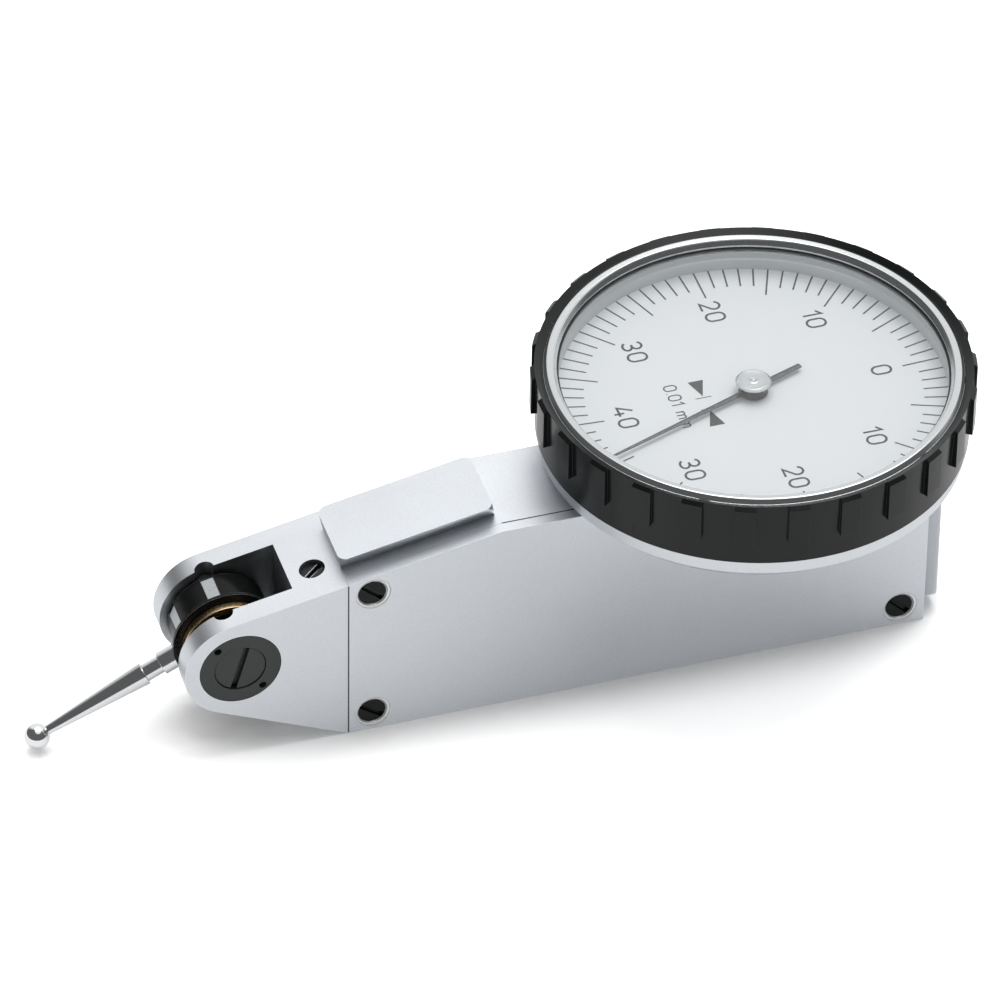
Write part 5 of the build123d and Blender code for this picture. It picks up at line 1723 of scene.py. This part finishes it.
@dataclass
class Studio:
    """White floor, dome with two soft boxes and the broad lamp high behind the object.

    Attributes:
        dome_plain: Radiance of the dome where it lights matt surfaces.
        dome_bright: Radiance of its two soft boxes, as gloss shows them.
        dome_dim: Radiance of the dark room round them, as gloss shows it.
        rear_way: Direction of the large soft box behind the object.
        rear_edge: Cosines from that direction where it ends and where it is fully bright.
        front_way: Direction of the small one high over the photographer.
        front_edge: The same two cosines of that one.
        sun_strength: Irradiance of the lamp.
        sun_angle: Size of the lamp, in degrees.
        sun_azimuth: Where the lamp stands, from +Y towards +X, in degrees.
        sun_elevation: Height of the lamp, in degrees.
        floor_colour: The floor's colour.
        floor_lift: White that the open floor adds for the camera.
        floor_gloss_lift: White that it adds for gloss.
        floor_half: Half the floor's side, in metres.
        contact_mm: How near the object the floor turns dark.
        contact_open: Openness of the dark floor there and of the open floor.
        overhang_mm: How high above the floor the dial still darkens it.
        overhang_open: Openness of the floor under the dial and of the floor beside it.
        overhang_keep: Share of the floor's white that stays under the dial.
    """

    dome_plain: float = 0.55
    dome_bright: float = 1.0
    dome_dim: float = 0.13
    rear_way: Point3 = (0.47, 0.73, 0.50)
    rear_edge: Point2 = (0.46, 0.70)
    front_way: Point3 = (0.12, -0.13, 0.98)
    front_edge: Point2 = (0.88, 0.94)
    sun_strength: float = 1.35
    sun_angle: float = 46.0
    sun_azimuth: float = 42.0
    sun_elevation: float = 74.0
    floor_colour: Colour = (0.97, 0.97, 0.97)
    floor_lift: float = 0.62
    floor_gloss_lift: float = 0.12
    floor_half: float = 3.0
    contact_mm: float = 8.0
    contact_open: Point2 = (0.53, 0.80)
    overhang_mm: float = 30.0
    overhang_open: Point2 = (0.30, 0.58)
    overhang_keep: float = 0.60

    def build(self) -> None:
        """Makes the floor, the world and the lamp."""
        self.floor()
        self.world()
        self.lamp()

    def seen(self, graph: Graph) -> bpy.types.NodeSocket:
        """A socket with 1 for the rays that show the backdrop, the camera's and the transmitted ones."""
        path = graph.node("ShaderNodeLightPath")
        return graph.math("MAXIMUM", path.outputs["Is Camera Ray"], path.outputs["Is Transmission Ray"])

    def floor(self) -> None:
        """Large matt floor under the object, white but for the object's near shadow, which is partly real and partly
        painted shadow where its added white glow fades.
        """
        shape = bmesh.new()
        bmesh.ops.create_grid(shape, x_segments=8, y_segments=8, size=self.floor_half)
        mesh = bpy.data.meshes.new("studio_floor")
        shape.to_mesh(mesh)
        shape.free()
        floor = link_object("studio_floor", mesh)
        material, graph, surface = start_material("floor_paper")
        surface.inputs["Base Color"].default_value = rgba(self.floor_colour)
        surface.inputs["Roughness"].default_value = 0.9
        surface.inputs["Specular IOR Level"].default_value = 0.0
        surface.inputs["Emission Color"].default_value = (1.0, 1.0, 1.0, 1.0)
        # Painted shadow: the floor's added white glow fades near the object and under the dial, from ambient
        # occlusion, over the real shadow.
        open_sky = graph.node("ShaderNodeAmbientOcclusion", samples=8)
        open_sky.inputs["Distance"].default_value = self.contact_mm * MM
        openness = graph.span(open_sky.outputs["AO"], *self.contact_open, 0.0, self.floor_lift)
        overhead = graph.node("ShaderNodeAmbientOcclusion", samples=8)
        overhead.inputs["Distance"].default_value = self.overhang_mm * MM
        under_dial = graph.span(overhead.outputs["AO"], *self.overhang_open, self.overhang_keep, 1.0)
        shown = graph.math("MULTIPLY", graph.math("MULTIPLY", openness, under_dial), self.seen(graph))
        glossy = graph.node("ShaderNodeLightPath").outputs["Is Glossy Ray"]
        gloss = graph.math("MULTIPLY", glossy, self.floor_gloss_lift)
        graph.link(graph.math("ADD", shown, gloss), surface.inputs["Emission Strength"])
        mesh.materials.append(material)

    def world(self) -> None:
        """The dome: white for the camera, even for matt surfaces, a dark room with two soft boxes for gloss."""
        world = bpy.data.worlds.new("studio_dome")
        bpy.context.scene.world = world
        world.use_nodes = True
        graph = Graph(world.node_tree)
        direction = graph.node("ShaderNodeTexCoord").outputs["Generated"]
        rear = self.soft_box(graph, direction, self.rear_way, self.rear_edge)
        front = self.soft_box(graph, direction, self.front_way, self.front_edge)
        shown = graph.math("MAXIMUM", rear, front)
        matt = graph.node("ShaderNodeLightPath").outputs["Is Diffuse Ray"]
        glossy = graph.math("MULTIPLY", shown, graph.math("SUBTRACT", 1.0, matt))
        level = graph.math("ADD", glossy, graph.math("MULTIPLY", matt, self.dome_plain))
        seen = self.seen(graph)
        strength = graph.math("ADD", graph.math("MULTIPLY", level, graph.math("SUBTRACT", 1.0, seen)), seen)
        background = graph.node("ShaderNodeBackground")
        background.inputs["Color"].default_value = (1.0, 1.0, 1.0, 1.0)
        graph.link(strength, background.inputs["Strength"])
        output = graph.node("ShaderNodeOutputWorld")
        graph.link(background.outputs[0], output.inputs["Surface"])

    def soft_box(
        self, graph: Graph, direction: bpy.types.NodeSocket, way: Point3, edge: Point2
    ) -> bpy.types.NodeSocket:
        """Radiance of the dome with one round soft box in it.

        Args:
            graph: The world's graph.
            direction: The socket of the direction looked in.
            way: Direction of the soft box.
            edge: Cosines at which it ends and at which it is fully bright.

        Returns:
            The radiance's socket.
        """
        facing = graph.node("ShaderNodeVectorMath", operation="DOT_PRODUCT")
        graph.link(direction, facing.inputs[0])
        facing.inputs[1].default_value = Vector(way).normalized()
        return graph.span(facing.outputs["Value"], *edge, self.dome_dim, self.dome_bright)

    def lamp(self) -> None:
        """Broad lamp high behind the object, which keeps its shadow close."""
        data = bpy.data.lights.new("top_lamp", "SUN")
        data.energy = self.sun_strength
        data.angle = math.radians(self.sun_angle)
        lamp = link_object("top_lamp", data)
        turn, rise = math.radians(self.sun_azimuth), math.radians(self.sun_elevation)
        towards = Vector((math.sin(turn) * math.cos(rise), math.cos(turn) * math.cos(rise), math.sin(rise)))
        lamp.rotation_mode = "QUATERNION"
        lamp.rotation_quaternion = towards.to_track_quat("Z", "Y")


def main() -> None:
    """Builds the camera, the stage and each sub-assembly in turn."""
    logging.basicConfig(level=logging.INFO, format="%(name)s: %(message)s")
    PhotoCamera().build()
    Studio().build()
    shop = Workshop(Palette())
    assemblies = [
        CaseAssembly(shop),
        LeverAssembly(shop),
        TrainAssembly(shop),
        PointerAssembly(shop),
        BezelAssembly(shop),
    ]
    for assembly in assemblies:
        assembly.build()
        LOG.info("built %s", type(assembly).__name__)
    bpy.context.scene.view_settings.view_transform = "Standard"


if __name__ == "__main__":
    main()
